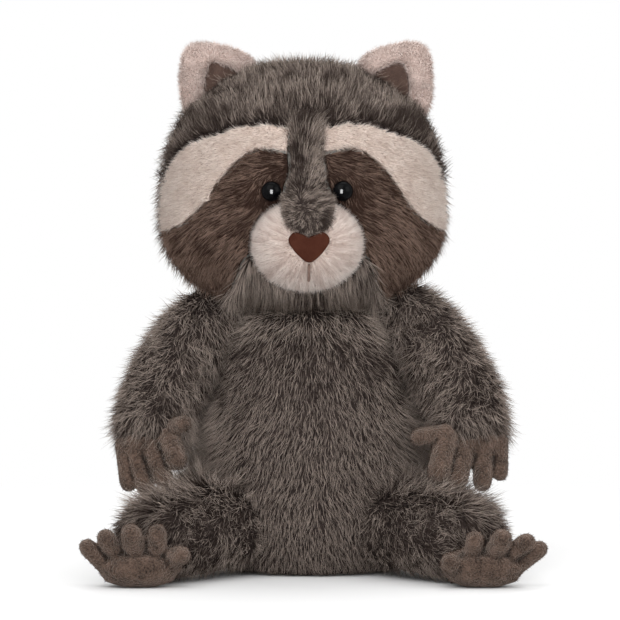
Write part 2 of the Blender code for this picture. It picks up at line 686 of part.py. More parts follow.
def make_legs(body, body_room):
    hip = (body.side_x(HIP_Z) - HIP_SINK, 0.0, HIP_Z)
    ground = block("above ground", (-FAR, -FAR, 0), (FAR, FAR, 2 * FAR))
    for side, word, toes in ((-1, "right", RIGHT_TOES), (1, "left", LEFT_TOES)):
        line = steps_from(hip, LEG_PATH, side)
        leg = tube(f"leg_{word}", line, LIMB_SIDES, flatness=LEG_FLATNESS, bluntness=LEG_BLUNTNESS)
        ankle = line[-1]
        out, forward = PAD_FROM_ANKLE
        centre = (ankle[0] + side * out, ankle[1] - forward, PAD_HALF_SIZE[2] - SEAM_GAP)
        pad = Pillow(centre, PAD_HALF_SIZE[0], PAD_HALF_SIZE[1], PAD_HALF_SIZE[1], PAD_HALF_SIZE[2],
                     PAD_HALF_SIZE[2], 2.3)
        pad_room = tool(pad.grown(SEAM_GAP).build(f"pad room {word}", SMALL_DIVISIONS + 1))
        boolean(leg, "DIFFERENCE", [body_room, pad_room])
        finish(boolean(leg, "INTERSECT", [ground]), GREY_PILE)
        foot = pad.build(f"foot_{word}", SMALL_DIVISIONS + 1)
        add_digits(foot, centre, side, toes)
        finish(boolean(foot, "INTERSECT", [ground]), SUEDE)


def make_tail(body, body_room):
    # Rings of alternate colour along one smooth line; only the first meets the body.
    start = body.back_y(TAIL_Z)
    points = [(0.0, start + back, TAIL_Z + up, radius) for back, up, radius in TAIL_PATH]
    steps = 3
    line = smooth_line(points, steps)
    count = len(line) - 1
    for ring in range(TAIL_RINGS):
        low = ring * count / TAIL_RINGS
        high = (ring + 1) * count / TAIL_RINGS
        part = []
        for k in range(4):
            t = low + (high - low) * k / 3
            index = min(int(t), count - 1)
            share = t - index
            part.append([a + (b - a) * share for a, b in zip(line[index], line[index + 1])])
        shift = (Vector(part[-1][:3]) - Vector(part[-2][:3])).normalized() * SEAM_GAP
        if ring < TAIL_RINGS - 1:
            part[-1][:3] = Vector(part[-1][:3]) - shift
        band = tail_band(f"tail_ring_{ring + 1}", part, ring == TAIL_RINGS - 1)
        colour = DARK_PILE if ring % 2 else GREY_PILE
        if ring == 0:
            boolean(band, "DIFFERENCE", [body_room])
        finish(band, colour)


def tail_band(name, part, is_tip):
    rings = []
    for x, y, z, radius in part:
        rings.append([(x + radius * math.cos(a), y, z + radius * math.sin(a)) for a in around(LIMB_SIDES)])
    start = Vector(part[0][:3])
    end = Vector(part[-1][:3])
    if is_tip:
        end = end + (end - Vector(part[-2][:3])).normalized() * part[-1][3] * 0.8
    return place(name, skin_rings(rings, start, end))


def main():
    clear_scene()
    body = body_form()
    head = head_form()
    muzzle = muzzle_form(head)
    hub = empty("head hub", (HEAD_SIDEWAYS, -HEAD_FORWARD, 0), HEAD_TURN)
    tools = head_tools(head, muzzle, hub)
    body_room = tool(body.grown(SEAM_GAP).build("body outside", FORM_DIVISIONS))
    make_head(head, tools, hub)
    make_snout(head, muzzle, tools, hub)
    make_body(body, tools["outside"])
    make_arms(body, body_room, tools["outside"])
    make_legs(body, body_room)
    make_tail(body, body_room)


main()
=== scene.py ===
import bpy
import bmesh
import math
import numpy as np
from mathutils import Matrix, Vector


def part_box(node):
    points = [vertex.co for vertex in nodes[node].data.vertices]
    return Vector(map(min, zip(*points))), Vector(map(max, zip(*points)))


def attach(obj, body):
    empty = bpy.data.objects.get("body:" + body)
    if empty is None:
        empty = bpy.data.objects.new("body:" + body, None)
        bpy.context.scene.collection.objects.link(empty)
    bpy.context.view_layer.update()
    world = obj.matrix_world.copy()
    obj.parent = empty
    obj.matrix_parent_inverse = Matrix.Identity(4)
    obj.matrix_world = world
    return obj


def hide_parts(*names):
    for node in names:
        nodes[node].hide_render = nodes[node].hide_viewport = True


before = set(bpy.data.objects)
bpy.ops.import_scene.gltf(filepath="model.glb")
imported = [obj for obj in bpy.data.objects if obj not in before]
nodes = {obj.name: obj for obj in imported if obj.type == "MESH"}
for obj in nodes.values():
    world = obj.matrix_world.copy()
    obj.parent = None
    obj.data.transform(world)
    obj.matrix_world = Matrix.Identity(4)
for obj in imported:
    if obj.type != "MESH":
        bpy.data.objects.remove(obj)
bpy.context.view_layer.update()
scene = bpy.context.scene
mm = 0.001
up = np.array((0.0, 0.0, 1.0))
floorClearance = 0.2 * mm
print("frame loaded with", len(nodes), "nodes")

# The bulks that the cloth is sewn over, as rounded boxes: |x/a|^p + |y/b|^p + |z/c|^p = 1
torsoBulk = {"centre": (0.0, 0.0, 0.038), "side": 0.0535, "front": 0.050, "back": 0.047,
             "up": 0.115, "down": 0.055, "power": 2.3, "turn": 0.0}
headBulk = {"centre": (-0.0045, -0.004, 0.178), "side": 0.0715, "front": 0.060, "back": 0.054,
            "up": 0.077, "down": 0.046, "power": 2.35, "turn": 2.5}


def srgb(red, green, blue):
    # A screen colour from 0 to 255 as the linear colour that a shader takes.
    parts = []
    for value in (red, green, blue):
        share = value / 255
        parts.append(share / 12.92 if share <= 0.04045 else ((share + 0.055) / 1.055) ** 2.4)
    return (*parts, 1.0)


def unit(vectors):
    return vectors / np.maximum(np.linalg.norm(vectors, axis=-1, keepdims=True), 1e-12)


def dot(a, b):
    return np.sum(a * b, axis=-1, keepdims=True)


def alongSurface(vectors, normals):
    # What is left of each direction once its part along the normal is taken out.
    return unit(vectors - normals * dot(vectors, normals))


def fade(low, high, values):
    # A smooth step: 0 below low, 1 above high, and 3t^2 - 2t^3 between them.
    t = np.clip((values - low) / (high - low), 0, 1)
    return t * t * (3 - 2 * t)


def inBulk(bulk, points):
    # The bulk's own measure of each point: under 1 inside it, 1 on its surface.
    turn = math.radians(bulk["turn"])
    off = points - np.array(bulk["centre"])
    x = off[:, 0] * math.cos(turn) + off[:, 1] * math.sin(turn)
    y = off[:, 1] * math.cos(turn) - off[:, 0] * math.sin(turn)
    z = off[:, 2]
    depth = np.where(y < 0, bulk["front"], bulk["back"])
    height = np.where(z > 0, bulk["up"], bulk["down"])
    power = bulk["power"]
    return np.abs(x / bulk["side"]) ** power + np.abs(y / depth) ** power + np.abs(z / height) ** power


def cornerValue(corner, seed):
    # A fixed number from 0 to 1 for each whole-number corner, by mixing the bits of its coordinates.
    mixed = corner[..., 0] * 73856093 ^ corner[..., 1] * 19349663 ^ corner[..., 2] * 83492791 ^ seed * 2654435
    mixed = (mixed ^ (mixed >> 13)) * 1274126177 & 0x7FFFFFFF
    return ((mixed ^ (mixed >> 15)) & 0xFFFF) / 65535.0


def softNoise(points, size, seed):
    # Value noise: the eight corners of each cell of a lattice blended by smooth steps.
    place = points / size
    base = np.floor(place).astype(np.int64)
    t = place - base
    t = t * t * (3 - 2 * t)
    total = np.zeros(len(points))
    for dx in (0, 1):
        for dy in (0, 1):
            for dz in (0, 1):
                weight = np.abs(1 - dx - t[:, 0]) * np.abs(1 - dy - t[:, 1]) * np.abs(1 - dz - t[:, 2])
                total += weight * cornerValue(base + np.array((dx, dy, dz)), seed)
    return total


def fromMiddle(points):
    # How far each point lies to the side of the head's middle.
    return points[:, 0] - headBulk["centre"][0]


def wayOf(points, across, back, rise):
    # One direction for each point, from numbers or arrays.
    return np.stack([np.broadcast_to(part, len(points)) for part in (across, back, rise)], axis=1)


def noiseVector(points, size, seed):
    return np.stack([softNoise(points, size, seed + i) * 2 - 1 for i in range(3)], axis=1)


def nearestTuft(points, cell, seed):
    # Each lattice cell holds one tuft at a mixed place; returns the nearest tuft and its own number.
    base = np.floor(points / cell).astype(np.int64)
    best = np.full(len(points), np.inf)
    tufts = np.zeros_like(points)
    numbers = np.zeros(len(points))
    for dx in (-1, 0, 1):
        for dy in (-1, 0, 1):
            for dz in (-1, 0, 1):
                corner = base + np.array((dx, dy, dz))
                shift = np.stack([cornerValue(corner, seed + i) for i in range(3)], axis=1)
                middle = (corner + shift) * cell
                away = np.sum((middle - points) ** 2, axis=1)
                nearer = away < best
                best = np.where(nearer, away, best)
                tufts = np.where(nearer[:, None], middle, tufts)
                numbers = np.where(nearer, cornerValue(corner, seed + 7), numbers)
    return tufts, numbers


def fillMesh(name, points, faces, corners=None):
    # Puts whole arrays of points, faces of one size and their UV corners into a mesh object.
    mesh = bpy.data.meshes.new(name)
    mesh.vertices.add(len(points))
    mesh.vertices.foreach_set("co", points.astype(np.float32).ravel())
    mesh.loops.add(faces.size)
    mesh.loops.foreach_set("vertex_index", faces.astype(np.int32).ravel())
    mesh.polygons.add(len(faces))
    mesh.polygons.foreach_set("loop_start", np.arange(0, faces.size, faces.shape[1], dtype=np.int32))
    if corners is not None:
        layer = mesh.uv_layers.new(name="OFBake")
        layer.uv.foreach_set("vector", corners.astype(np.float32).ravel())
    mesh.update(calc_edges=True)
    mesh.shade_smooth()
    piece = bpy.data.objects.new(name, mesh)
    scene.collection.objects.link(piece)
    return piece


def meshArrays(piece):
    mesh = piece.data
    mesh.calc_loop_triangles()
    points = np.empty(len(mesh.vertices) * 3)
    mesh.vertices.foreach_get("co", points)
    normals = np.empty(len(mesh.vertices) * 3)
    mesh.vertex_normals.foreach_get("vector", normals)
    triangles = np.empty(len(mesh.loop_triangles) * 3, dtype=np.int32)
    mesh.loop_triangles.foreach_get("vertices", triangles)
    return points.reshape(-1, 3), normals.reshape(-1, 3), triangles.reshape(-1, 3)


def setPoints(piece, points):
    piece.data.vertices.foreach_set("co", points.ravel())
    piece.data.update()


def neighbourMean(values, edges):
    # The mean over each point's neighbours, from sums over the edges.
    total = np.zeros_like(values)
    count = np.zeros(len(values))
    for here, there in ((0, 1), (1, 0)):
        np.add.at(total, edges[:, here], values[edges[:, there]])
        np.add.at(count, edges[:, here], 1)
    return total / np.maximum(count, 1).reshape(-1, *[1] * (values.ndim - 1))


def hollowDepth(piece):
    # How far each point lies under its neighbours once the form is evened out: positive in a crease.
    points, normals = meshArrays(piece)[:2]
    edges = np.empty(len(piece.data.edges) * 2, dtype=np.int32)
    piece.data.edges.foreach_get("vertices", edges)
    edges = edges.reshape(-1, 2)
    even = points
    for step in range(8):
        even = neighbourMean(even, edges)
    return np.sum((even - points) * normals, axis=1)


def evaluated(piece):
    # The mesh with its modifiers applied, in a new mesh.
    bpy.context.view_layer.update()
    graph = bpy.context.evaluated_depsgraph_get()
    return bpy.data.meshes.new_from_object(piece.evaluated_get(graph))


def applyModifiers(piece):
    mesh = evaluated(piece)
    old = piece.data
    piece.modifiers.clear()
    piece.data = mesh
    bpy.data.meshes.remove(old)
    mesh.shade_smooth()


# Materials. Each group puts out a colour, a mask or a height only.

def newGroup(name, inputs, outputs):
    group = bpy.data.node_groups.new(name, "ShaderNodeTree")
    for label, kind, value in inputs:
        socket = group.interface.new_socket(label, in_out="INPUT", socket_type=kind)
        if value is not None:
            socket.default_value = value
    for label, kind in outputs:
        group.interface.new_socket(label, in_out="OUTPUT", socket_type=kind)
    return group, group.nodes.new("NodeGroupInput"), group.nodes.new("NodeGroupOutput")


def addNode(tree, kind, inputs=None, **settings):
    # One node with its settings, and its sockets linked or given values.
    node = tree.nodes.new(kind)
    for key, value in settings.items():
        setattr(node, key, value)
    for key, value in (inputs or {}).items():
        if isinstance(value, bpy.types.NodeSocket):
            tree.links.new(value, node.inputs[key])
        else:
            node.inputs[key].default_value = value
    return node


def mixColours(tree, factor, first, second):
    node = addNode(tree, "ShaderNodeMix", data_type="RGBA")
    for index, value in ((0, factor), (6, first), (7, second)):
        if isinstance(value, bpy.types.NodeSocket):
            tree.links.new(value, node.inputs[index])
        else:
            node.inputs[index].default_value = value
    return node.outputs[2]


def rampTo(tree, value, low, high):
    return addNode(tree, "ShaderNodeMapRange", {"Value": value, "From Min": low, "From Max": high},
                   interpolation_type="SMOOTHSTEP").outputs["Result"]


def noiseMask(tree, place, scale, detail):
    # Soft mottling from 0 to 1.
    noise = addNode(tree, "ShaderNodeTexNoise", {"Vector": place, "Scale": scale, "Detail": detail})
    return rampTo(tree, noise.outputs[0], 0.3, 0.7)


def buildHairShade():
    # A hair's colour from its tone and the way along it: root, then dark to pale by tone, then a light tip.
    inputs = [("Tone", "NodeSocketFloat", 0.5), ("Along", "NodeSocketFloat", 0.5),
              ("Root", "NodeSocketColor", None), ("Dark", "NodeSocketColor", None),
              ("Pale", "NodeSocketColor", None), ("Tip", "NodeSocketColor", None),
              ("Root End", "NodeSocketFloat", 0.5), ("Tip Start", "NodeSocketFloat", 0.6)]
    group, source, result = newGroup("hairShade", inputs, [("Colour", "NodeSocketColor")])
    given = source.outputs
    shaft = mixColours(group, given["Tone"], given["Dark"], given["Pale"])
    tipReach = rampTo(group, given["Along"], given["Tip Start"], 1.0)
    tipTone = rampTo(group, given["Tone"], 0.35, 0.85)
    tipShare = addNode(group, "ShaderNodeMath", {0: tipReach, 1: tipTone}, operation="MULTIPLY").outputs[0]
    tipped = mixColours(group, tipShare, shaft, given["Tip"])
    # The root colour is partly the hair's own and partly painted shade at the foot of the pile.
    rootShare = rampTo(group, given["Along"], 0.0, given["Root End"])
    group.links.new(mixColours(group, rootShare, given["Root"], tipped), result.inputs["Colour"])
    return group


def buildNap():
    # Short brushed cloth: two sizes of mottling on object coordinates, as a colour and a height.
    inputs = [("Dark", "NodeSocketColor", None), ("Pale", "NodeSocketColor", None),
              ("Patch Scale", "NodeSocketFloat", 90.0), ("Nap Scale", "NodeSocketFloat", 1400.0)]
    group, source, result = newGroup("brushedNap", inputs,
                                     [("Colour", "NodeSocketColor"), ("Height", "NodeSocketFloat")])
    place = addNode(group, "ShaderNodeTexCoord").outputs["Object"]
    given = source.outputs
    patchMask = noiseMask(group, place, given["Patch Scale"], 3.0)
    napMask = noiseMask(group, place, given["Nap Scale"], 2.0)
    patchShare = 0.45
    patched = addNode(group, "ShaderNodeMath", {0: patchMask, 1: patchShare}, operation="MULTIPLY").outputs[0]
    total = addNode(group, "ShaderNodeMath", {0: napMask, 1: 1 - patchShare, 2: patched},
                    operation="MULTIPLY_ADD").outputs[0]
    group.links.new(mixColours(group, total, given["Dark"], given["Pale"]), result.inputs["Colour"])
    group.links.new(napMask, result.inputs["Height"])
    return group


hairShade = buildHairShade()
brushedNap = buildNap()


def newMaterial(name, roughness, sheen=0.0, specular=0.3, sheenTint=(1.0, 1.0, 1.0, 1.0)):
    material = bpy.data.materials.new(name)
    material.use_nodes = True
    shader = material.node_tree.nodes["Principled BSDF"]
    shader.inputs["Roughness"].default_value = roughness
    shader.inputs["Sheen Weight"].default_value = sheen
    shader.inputs["Sheen Tint"].default_value = sheenTint
    shader.inputs["Specular IOR Level"].default_value = specular
    return material, material.node_tree, shader


def hairMaterial(name, look):
    material, tree, shader = newMaterial(name, 0.8, 0.0, 0.0)
    place = addNode(tree, "ShaderNodeUVMap", uv_map="OFBake").outputs["UV"]
    parts = addNode(tree, "ShaderNodeSeparateXYZ", {"Vector": place}).outputs
    shade = addNode(tree, "ShaderNodeGroup", node_tree=hairShade)
    tree.links.new(parts["X"], shade.inputs["Tone"])
    tree.links.new(parts["Y"], shade.inputs["Along"])
    for label, key in (("Root", "root"), ("Dark", "dark"), ("Pale", "pale"), ("Tip", "tip")):
        shade.inputs[label].default_value = srgb(*look[key])
    shade.inputs["Root End"].default_value = look["rootEnd"]
    shade.inputs["Tip Start"].default_value = look["tipStart"]
    tree.links.new(shade.outputs["Colour"], shader.inputs["Base Color"])
    return material


def napMaterial(name, look):
    gloss = [look.get(key, usual) for key, usual in (("roughness", 0.9), ("sheen", 0.0), ("specular", 0.0))]
    material, tree, shader = newMaterial(name, *gloss, look.get("sheenTint", (1.0, 1.0, 1.0, 1.0)))
    nap = addNode(tree, "ShaderNodeGroup", node_tree=brushedNap)
    nap.inputs["Dark"].default_value = srgb(*look["dark"])
    nap.inputs["Pale"].default_value = srgb(*look["pale"])
    nap.inputs["Patch Scale"].default_value = look["patchScale"]
    nap.inputs["Nap Scale"].default_value = look["napScale"]
    colour = nap.outputs["Colour"]
    # Painted shade: the colour darkens towards the crease colour where the cloth lies in a crease.
    if "paintedCreaseShade" in look:
        depth = addNode(tree, "ShaderNodeAttribute", attribute_name="paintedCreaseShade").outputs["Fac"]
        colour = mixColours(tree, depth, colour, srgb(*look["paintedCreaseShade"]))
    tree.links.new(colour, shader.inputs["Base Color"])
    bump = addNode(tree, "ShaderNodeBump", {"Height": nap.outputs["Height"], "Strength": look["bump"],
                                            "Distance": look["bumpDepth"]})
    tree.links.new(bump.outputs["Normal"], shader.inputs["Normal"])
    return material


hairLooks = {
    # Each root colour is darker than its hair: partly the pile's own dark roots, partly painted shade at the
    # foot of the pile.
    "greyPile": {"root": (24, 19, 18), "dark": (58, 49, 45), "pale": (150, 136, 127), "tip": (204, 190, 178),
                 "rootEnd": 0.5, "tipStart": 0.5},
    "darkPile": {"root": (18, 15, 15), "dark": (38, 32, 31), "pale": (68, 59, 55), "tip": (96, 86, 80),
                 "rootEnd": 0.5, "tipStart": 0.6},
    "brownPile": {"root": (34, 24, 20), "dark": (58, 43, 37), "pale": (142, 118, 105), "tip": (180, 157, 142),
                  "rootEnd": 0.45, "tipStart": 0.55},
    "creamPile": {"root": (170, 149, 138), "dark": (200, 181, 170), "pale": (232, 218, 208),
                  "tip": (242, 232, 224), "rootEnd": 0.5, "tipStart": 0.5},
    "muzzlePile": {"root": (172, 149, 140), "dark": (196, 175, 166), "pale": (236, 223, 215),
                   "tip": (242, 233, 226), "rootEnd": 0.4, "tipStart": 0.6},
    "earPile": {"root": (146, 127, 119), "dark": (178, 159, 151), "pale": (212, 195, 188),
                "tip": (226, 211, 204), "rootEnd": 0.5, "tipStart": 0.5},
    "suedePile": {"root": (30, 22, 18), "dark": (42, 31, 26), "pale": (104, 85, 75), "tip": (138, 117, 105),
                  "rootEnd": 0.5, "tipStart": 0.4},
}
napLooks = {
    # The grey, dark and brown backings are painted darker than their pile: painted shade in the gaps between
    # the hairs.
    "greyBacking": {"dark": (30, 25, 24), "pale": (58, 50, 47), "patchScale": 120.0, "napScale": 900.0,
                    "bump": 0.6, "bumpDepth": 0.0008},
    "darkBacking": {"dark": (24, 20, 20), "pale": (44, 38, 36), "patchScale": 120.0, "napScale": 900.0,
                    "bump": 0.6, "bumpDepth": 0.0008},
    "brownBacking": {"dark": (36, 26, 22), "pale": (56, 42, 36), "patchScale": 120.0, "napScale": 900.0,
                     "bump": 0.6, "bumpDepth": 0.0006},
    "creamBacking": {"dark": (188, 170, 160), "pale": (206, 190, 180), "patchScale": 150.0,
                     "napScale": 1300.0, "bump": 0.5, "bumpDepth": 0.0005},
    "earBacking": {"dark": (158, 139, 131), "pale": (182, 164, 157), "patchScale": 150.0, "napScale": 1300.0,
                   "bump": 0.5, "bumpDepth": 0.0005},
    # The suede's crease colour is painted shade in the creases between the digits.
    "suede": {"dark": (30, 22, 18), "pale": (98, 80, 70), "patchScale": 150.0, "napScale": 1150.0,
              "bump": 1.0, "bumpDepth": 0.0006, "roughness": 0.95, "sheen": 0.3,
              "sheenTint": (1.0, 0.86, 0.76, 1.0), "paintedCreaseShade": (24, 17, 14)},
    "noseSuede": {"dark": (52, 27, 20), "pale": (66, 38, 29), "patchScale": 200.0, "napScale": 2600.0,
                  "bump": 0.25, "bumpDepth": 0.0002, "roughness": 0.8, "sheen": 0.0},
    "liningSuede": {"dark": (58, 45, 40), "pale": (90, 73, 66), "patchScale": 220.0, "napScale": 2200.0,
                    "bump": 0.4, "bumpDepth": 0.0003},
    "stitchThread": {"dark": (92, 74, 66), "pale": (118, 98, 89), "patchScale": 500.0, "napScale": 4000.0,
                     "bump": 0.5, "bumpDepth": 0.0002, "roughness": 0.8, "sheen": 0.1},
    "fibreFilling": {"dark": (214, 212, 206), "pale": (245, 244, 240), "patchScale": 60.0, "napScale": 500.0,
                     "bump": 0.8, "bumpDepth": 0.002, "roughness": 0.95, "sheen": 0.3},
    "pouchCloth": {"dark": (188, 184, 174), "pale": (218, 214, 204), "patchScale": 40.0, "napScale": 1800.0,
                   "bump": 0.4, "bumpDepth": 0.0004, "roughness": 0.9, "sheen": 0.1},
    "washerPlastic": {"dark": (206, 206, 202), "pale": (228, 228, 224), "patchScale": 50.0, "napScale": 700.0,
                      "bump": 0.1, "bumpDepth": 0.0001, "roughness": 0.45, "sheen": 0.0, "specular": 0.5},
}
hairMaterials = {name: hairMaterial(name, look) for name, look in hairLooks.items()}
napMaterials = {name: napMaterial(name, look) for name, look in napLooks.items()}
print("materials ready")


# Skins: the sewn cloth under the pile

stuffing = {"pressure": 4.0, "quality": 4, "frames": 20}


def swell(piece, most):
    # Blows the stuffed shape up a little with cloth pressure, with no point moving further than most.
    cloth = piece.modifiers.new("stuffing", "CLOTH")
    cloth.settings.use_pressure = True
    cloth.settings.uniform_pressure_force = stuffing["pressure"]
    cloth.settings.effector_weights.gravity = 0.0
    cloth.settings.quality = stuffing["quality"]
    cloth.collision_settings.use_self_collision = False
    cloth.point_cache.frame_start = 1
    cloth.point_cache.frame_end = stuffing["frames"]
    start = meshArrays(piece)[0]
    for step in range(1, stuffing["frames"] + 1):
        scene.frame_set(step)
    mesh = evaluated(piece)
    swollen = np.empty(len(mesh.vertices) * 3)
    mesh.vertices.foreach_get("co", swollen)
    bpy.data.meshes.remove(mesh)
    move = swollen.reshape(-1, 3) - start
    far = np.linalg.norm(move, axis=1, keepdims=True)
    piece.modifiers.clear()
    setPoints(piece, start + move * np.minimum(1, most / np.maximum(far, 1e-9)))
    scene.frame_set(1)


def outerShare(bulk, points):
    # 1 on the outer face of a panel that is sewn over the bulk, 0 on its inner face.
    return fade(0.90, 0.95, inBulk(bulk, points))[:, None]


def onBulk(piece, bulk):
    # Lifts the outer face of a remeshed panel back onto the smooth bulk that it is sewn over.
    points = meshArrays(piece)[0]
    measure = inBulk(bulk, points)
    centre = np.array(bulk["centre"])
    lifted = centre + (points - centre) / (measure[:, None] ** (1 / bulk["power"]))
    setPoints(piece, points + (lifted - points) * outerShare(bulk, points))


def leaveRoomForPile(piece, depth, bulk):
    # Draws the cloth in along its normals, so that the pile's outside is where the solid's face is.
    points, normals = meshArrays(piece)[:2]
    points = points - normals * depth * (outerShare(bulk, points) if bulk else 1.0)
    points[:, 2] = np.maximum(points[:, 2], floorClearance)
    setPoints(piece, points)


def thinRim(piece, share):
    # Draws the faces towards the middle plane by a share that grows with the cube of how far out a point is,
    # the back more than the front, and the back also with the square of the height.
    points = meshArrays(piece)[0]
    low, high = points.min(axis=0), points.max(axis=0)
    off = points - (low + high) / 2
    turn, out = np.arctan2(off[:, 2], off[:, 0]), np.hypot(off[:, 0], off[:, 2])
    sectors = 40
    reach = np.zeros(sectors)
    np.maximum.at(reach, np.floor((turn / math.tau + 0.5) * sectors).astype(int) % sectors, out)
    middles = ((np.arange(sectors) + 0.5) / sectors - 0.5) * math.tau
    near = np.clip(out / np.interp(turn, middles, reach, period=math.tau), 0, 1) ** 3
    rise = ((points[:, 2] - low[2]) / (high[2] - low[2])) ** 2
    points[:, 1] -= np.maximum(off[:, 1], 0) * share * np.maximum(near, 0.7 * rise)
    points[:, 1] -= np.minimum(off[:, 1], 0) * share * 0.45 * near
    setPoints(piece, points)


def sewSkin(name, sources, look, voxel, smoothing, fill, slot, swelling=0.0, bulk=None, pileRoom=0.0,
            thinning=0.0):
    # Remeshes the solids evenly, softens and shapes them, and stores where the cloth lies in a crease, for
    # painted crease shade.
    shape = bmesh.new()
    for source in sources:
        shape.from_mesh(nodes[source].data)
    bmesh.ops.remove_doubles(shape, verts=shape.verts, dist=1e-6)
    mesh = bpy.data.meshes.new(name)
    shape.to_mesh(mesh)
    shape.free()
    mesh.materials.clear()
    piece = bpy.data.objects.new(name, mesh)
    scene.collection.objects.link(piece)
    remesh = piece.modifiers.new("even mesh", "REMESH")
    remesh.mode = "VOXEL"
    remesh.voxel_size = voxel
    if smoothing:
        smooth = piece.modifiers.new("softened", "SMOOTH")
        smooth.factor = 0.5
        smooth.iterations = smoothing
    applyModifiers(piece)
    if swelling:
        swell(piece, swelling)
    if bulk:
        onBulk(piece, bulk)
    if thinning:
        thinRim(piece, thinning)
    leaveRoomForPile(piece, pileRoom, bulk)
    # How deep each point lies in a crease, which the nap material turns into painted shade.
    paintedCreaseShade = piece.data.attributes.new("paintedCreaseShade", "FLOAT", "POINT")
    paintedCreaseShade.data.foreach_set("value", fade(0.05 * mm, 0.6 * mm, hollowDepth(piece)).astype(np.float32))
    piece.data.materials.clear()
    piece.data.materials.append(napMaterials[look])
    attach(piece, "root")
    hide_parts(*[source for source in sources if len(sources) == 1 or source not in keptInside])
    return piece


keptInside = ("body_filling", "head_filling")
# The grey backing used by these plans is painted shade in the gaps of the pile.
greyHead = {"look": "greyBacking", "voxel": 2.0 * mm, "smoothing": 3, "bulk": headBulk, "fill": 0.8,
            "slot": "grey_pile", "pileRoom": 1.0 * mm}
limb = {"look": "greyBacking", "voxel": 2.8 * mm, "smoothing": 3, "swelling": 2 * mm, "fill": 0.6,
        "slot": "grey_pile", "pileRoom": 1 * mm}
paw = {"look": "suede", "voxel": 1.1 * mm, "smoothing": 1, "fill": 0.6, "slot": "suede"}
torsoPanels = ["body_front", "body_back_left", "body_back_right", "seat_panel"]
skinPlans = {
    "torsoSkin": {**limb, "sources": [*torsoPanels, "body_filling"], "voxel": 3.2 * mm, "fill": 0.8,
                  "pileRoom": 0.5 * mm},
    "crownSkin": {**greyHead, "sources": ["crown"]},
    "headBackSkin": {**greyHead, "sources": ["head_back"], "voxel": 3.2 * mm},
    "chinSkin": {**greyHead, "sources": ["chin"]},
    "stripeSkin": {**greyHead, "sources": ["snout_stripe"], "voxel": 1.6 * mm, "bulk": None,
                   "pileRoom": 0.5 * mm},
    "muzzleSkin": {"sources": ["muzzle"], "look": "creamBacking", "voxel": 1.8 * mm, "smoothing": 4,
                   "swelling": 1 * mm, "fill": 0.85, "slot": "cream_pile", "pileRoom": 1 * mm},
}
sideSkins = {
    "brow": {**greyHead, "look": "creamBacking", "slot": "cream_pile", "pileRoom": 0.8 * mm},
    # The cheek's brown backing is painted shade in the gaps of the pile.
    "cheek": {**greyHead, "look": "brownBacking", "slot": "brown_pile"},
    "ear": {"look": "earBacking", "voxel": 1.7 * mm, "smoothing": 12, "swelling": 1 * mm, "fill": 0.4,
            "slot": "cream_pile", "pileRoom": 0.3 * mm, "thinning": 0.85},
    "arm": limb, "leg": limb, "hand": paw, "foot": paw,
    "earLining": {"look": "liningSuede", "voxel": 0.8 * mm, "smoothing": 2, "fill": 0.2,
                  "slot": "lining_suede"},
}
for side in ("left", "right"):
    for part, plan in sideSkins.items():
        node = "ear_lining" if part == "earLining" else part
        skinPlans[f"{part}{side.capitalize()}Skin"] = {**plan, "sources": [f"{node}_{side}"]}
for ring in range(1, 7):
    tone = "grey" if ring % 2 else "dark"
    # The grey and dark backings of the tail rings are painted shade in the gaps of the pile.
    skinPlans[f"tailRing{ring}Skin"] = {"sources": [f"tail_ring_{ring}"], "look": f"{tone}Backing",
                                        "voxel": 2.4 * mm, "smoothing": 2, "swelling": 1 * mm, "fill": 0.6,
                                        "slot": f"{tone}_pile", "pileRoom": 1 * mm}
for word, inside in (("torso", "body_filling"), ("head", "head_filling")):
    skinPlans[f"{word}Stuffing"] = {"sources": [inside], "look": "fibreFilling", "voxel": 6 * mm,
                                    "smoothing": 2, "fill": 0.9, "slot": "filling", "pileRoom": 2 * mm}
skinPlans["noseSkin"] = {"sources": ["nose"], "look": "noseSuede", "voxel": 0.6 * mm, "smoothing": 4,
                         "fill": 0.5, "slot": "nose_suede"}
skins = {name: sewSkin(name, **plan) for name, plan in skinPlans.items()}
skinFaces = sum(len(piece.data.polygons) * 2 for piece in skins.values())
print("skins sewn:", len(skins), "with about", skinFaces, "triangles")


# Pile: every hair is a closed needle of four triangles

needleFaces = np.array([(2, 1, 0), (0, 1, 3), (1, 2, 3), (2, 0, 3)])
needleAcross = np.array([(1.0, 0.0, 0.5), (0.0, 1.0, 0.5), (0.0, 1.0, 0.5), (0.0, 1.0, 0.5)])
needleAlong = np.array([(0.0, 0.0, 0.08), (0.0, 0.0, 1.0), (0.0, 0.0, 1.0), (0.0, 0.0, 1.0)])
toneColumns = 40
rootDepth = 0.6 * mm
lengthSplit = (0.45, 0.55)
toneMix = {"own": 0.36, "tuft": 0.34, "patch": 0.3}


def ringOffsets(direction, radius, turns):
    # Three corners around each hair: its radius times cos and sin along two directions square to it.
    helper = np.where(np.abs(direction[:, 2:3]) < 0.9, up, np.array((1.0, 0.0, 0.0)))
    sideways = unit(np.cross(helper, direction))
    over = np.cross(direction, sideways)
    corners = []
    for third in range(3):
        angle = turns + third * math.tau / 3
        corners.append((sideways * np.cos(angle)[:, None] + over * np.sin(angle)[:, None]) * radius[:, None])
    return corners


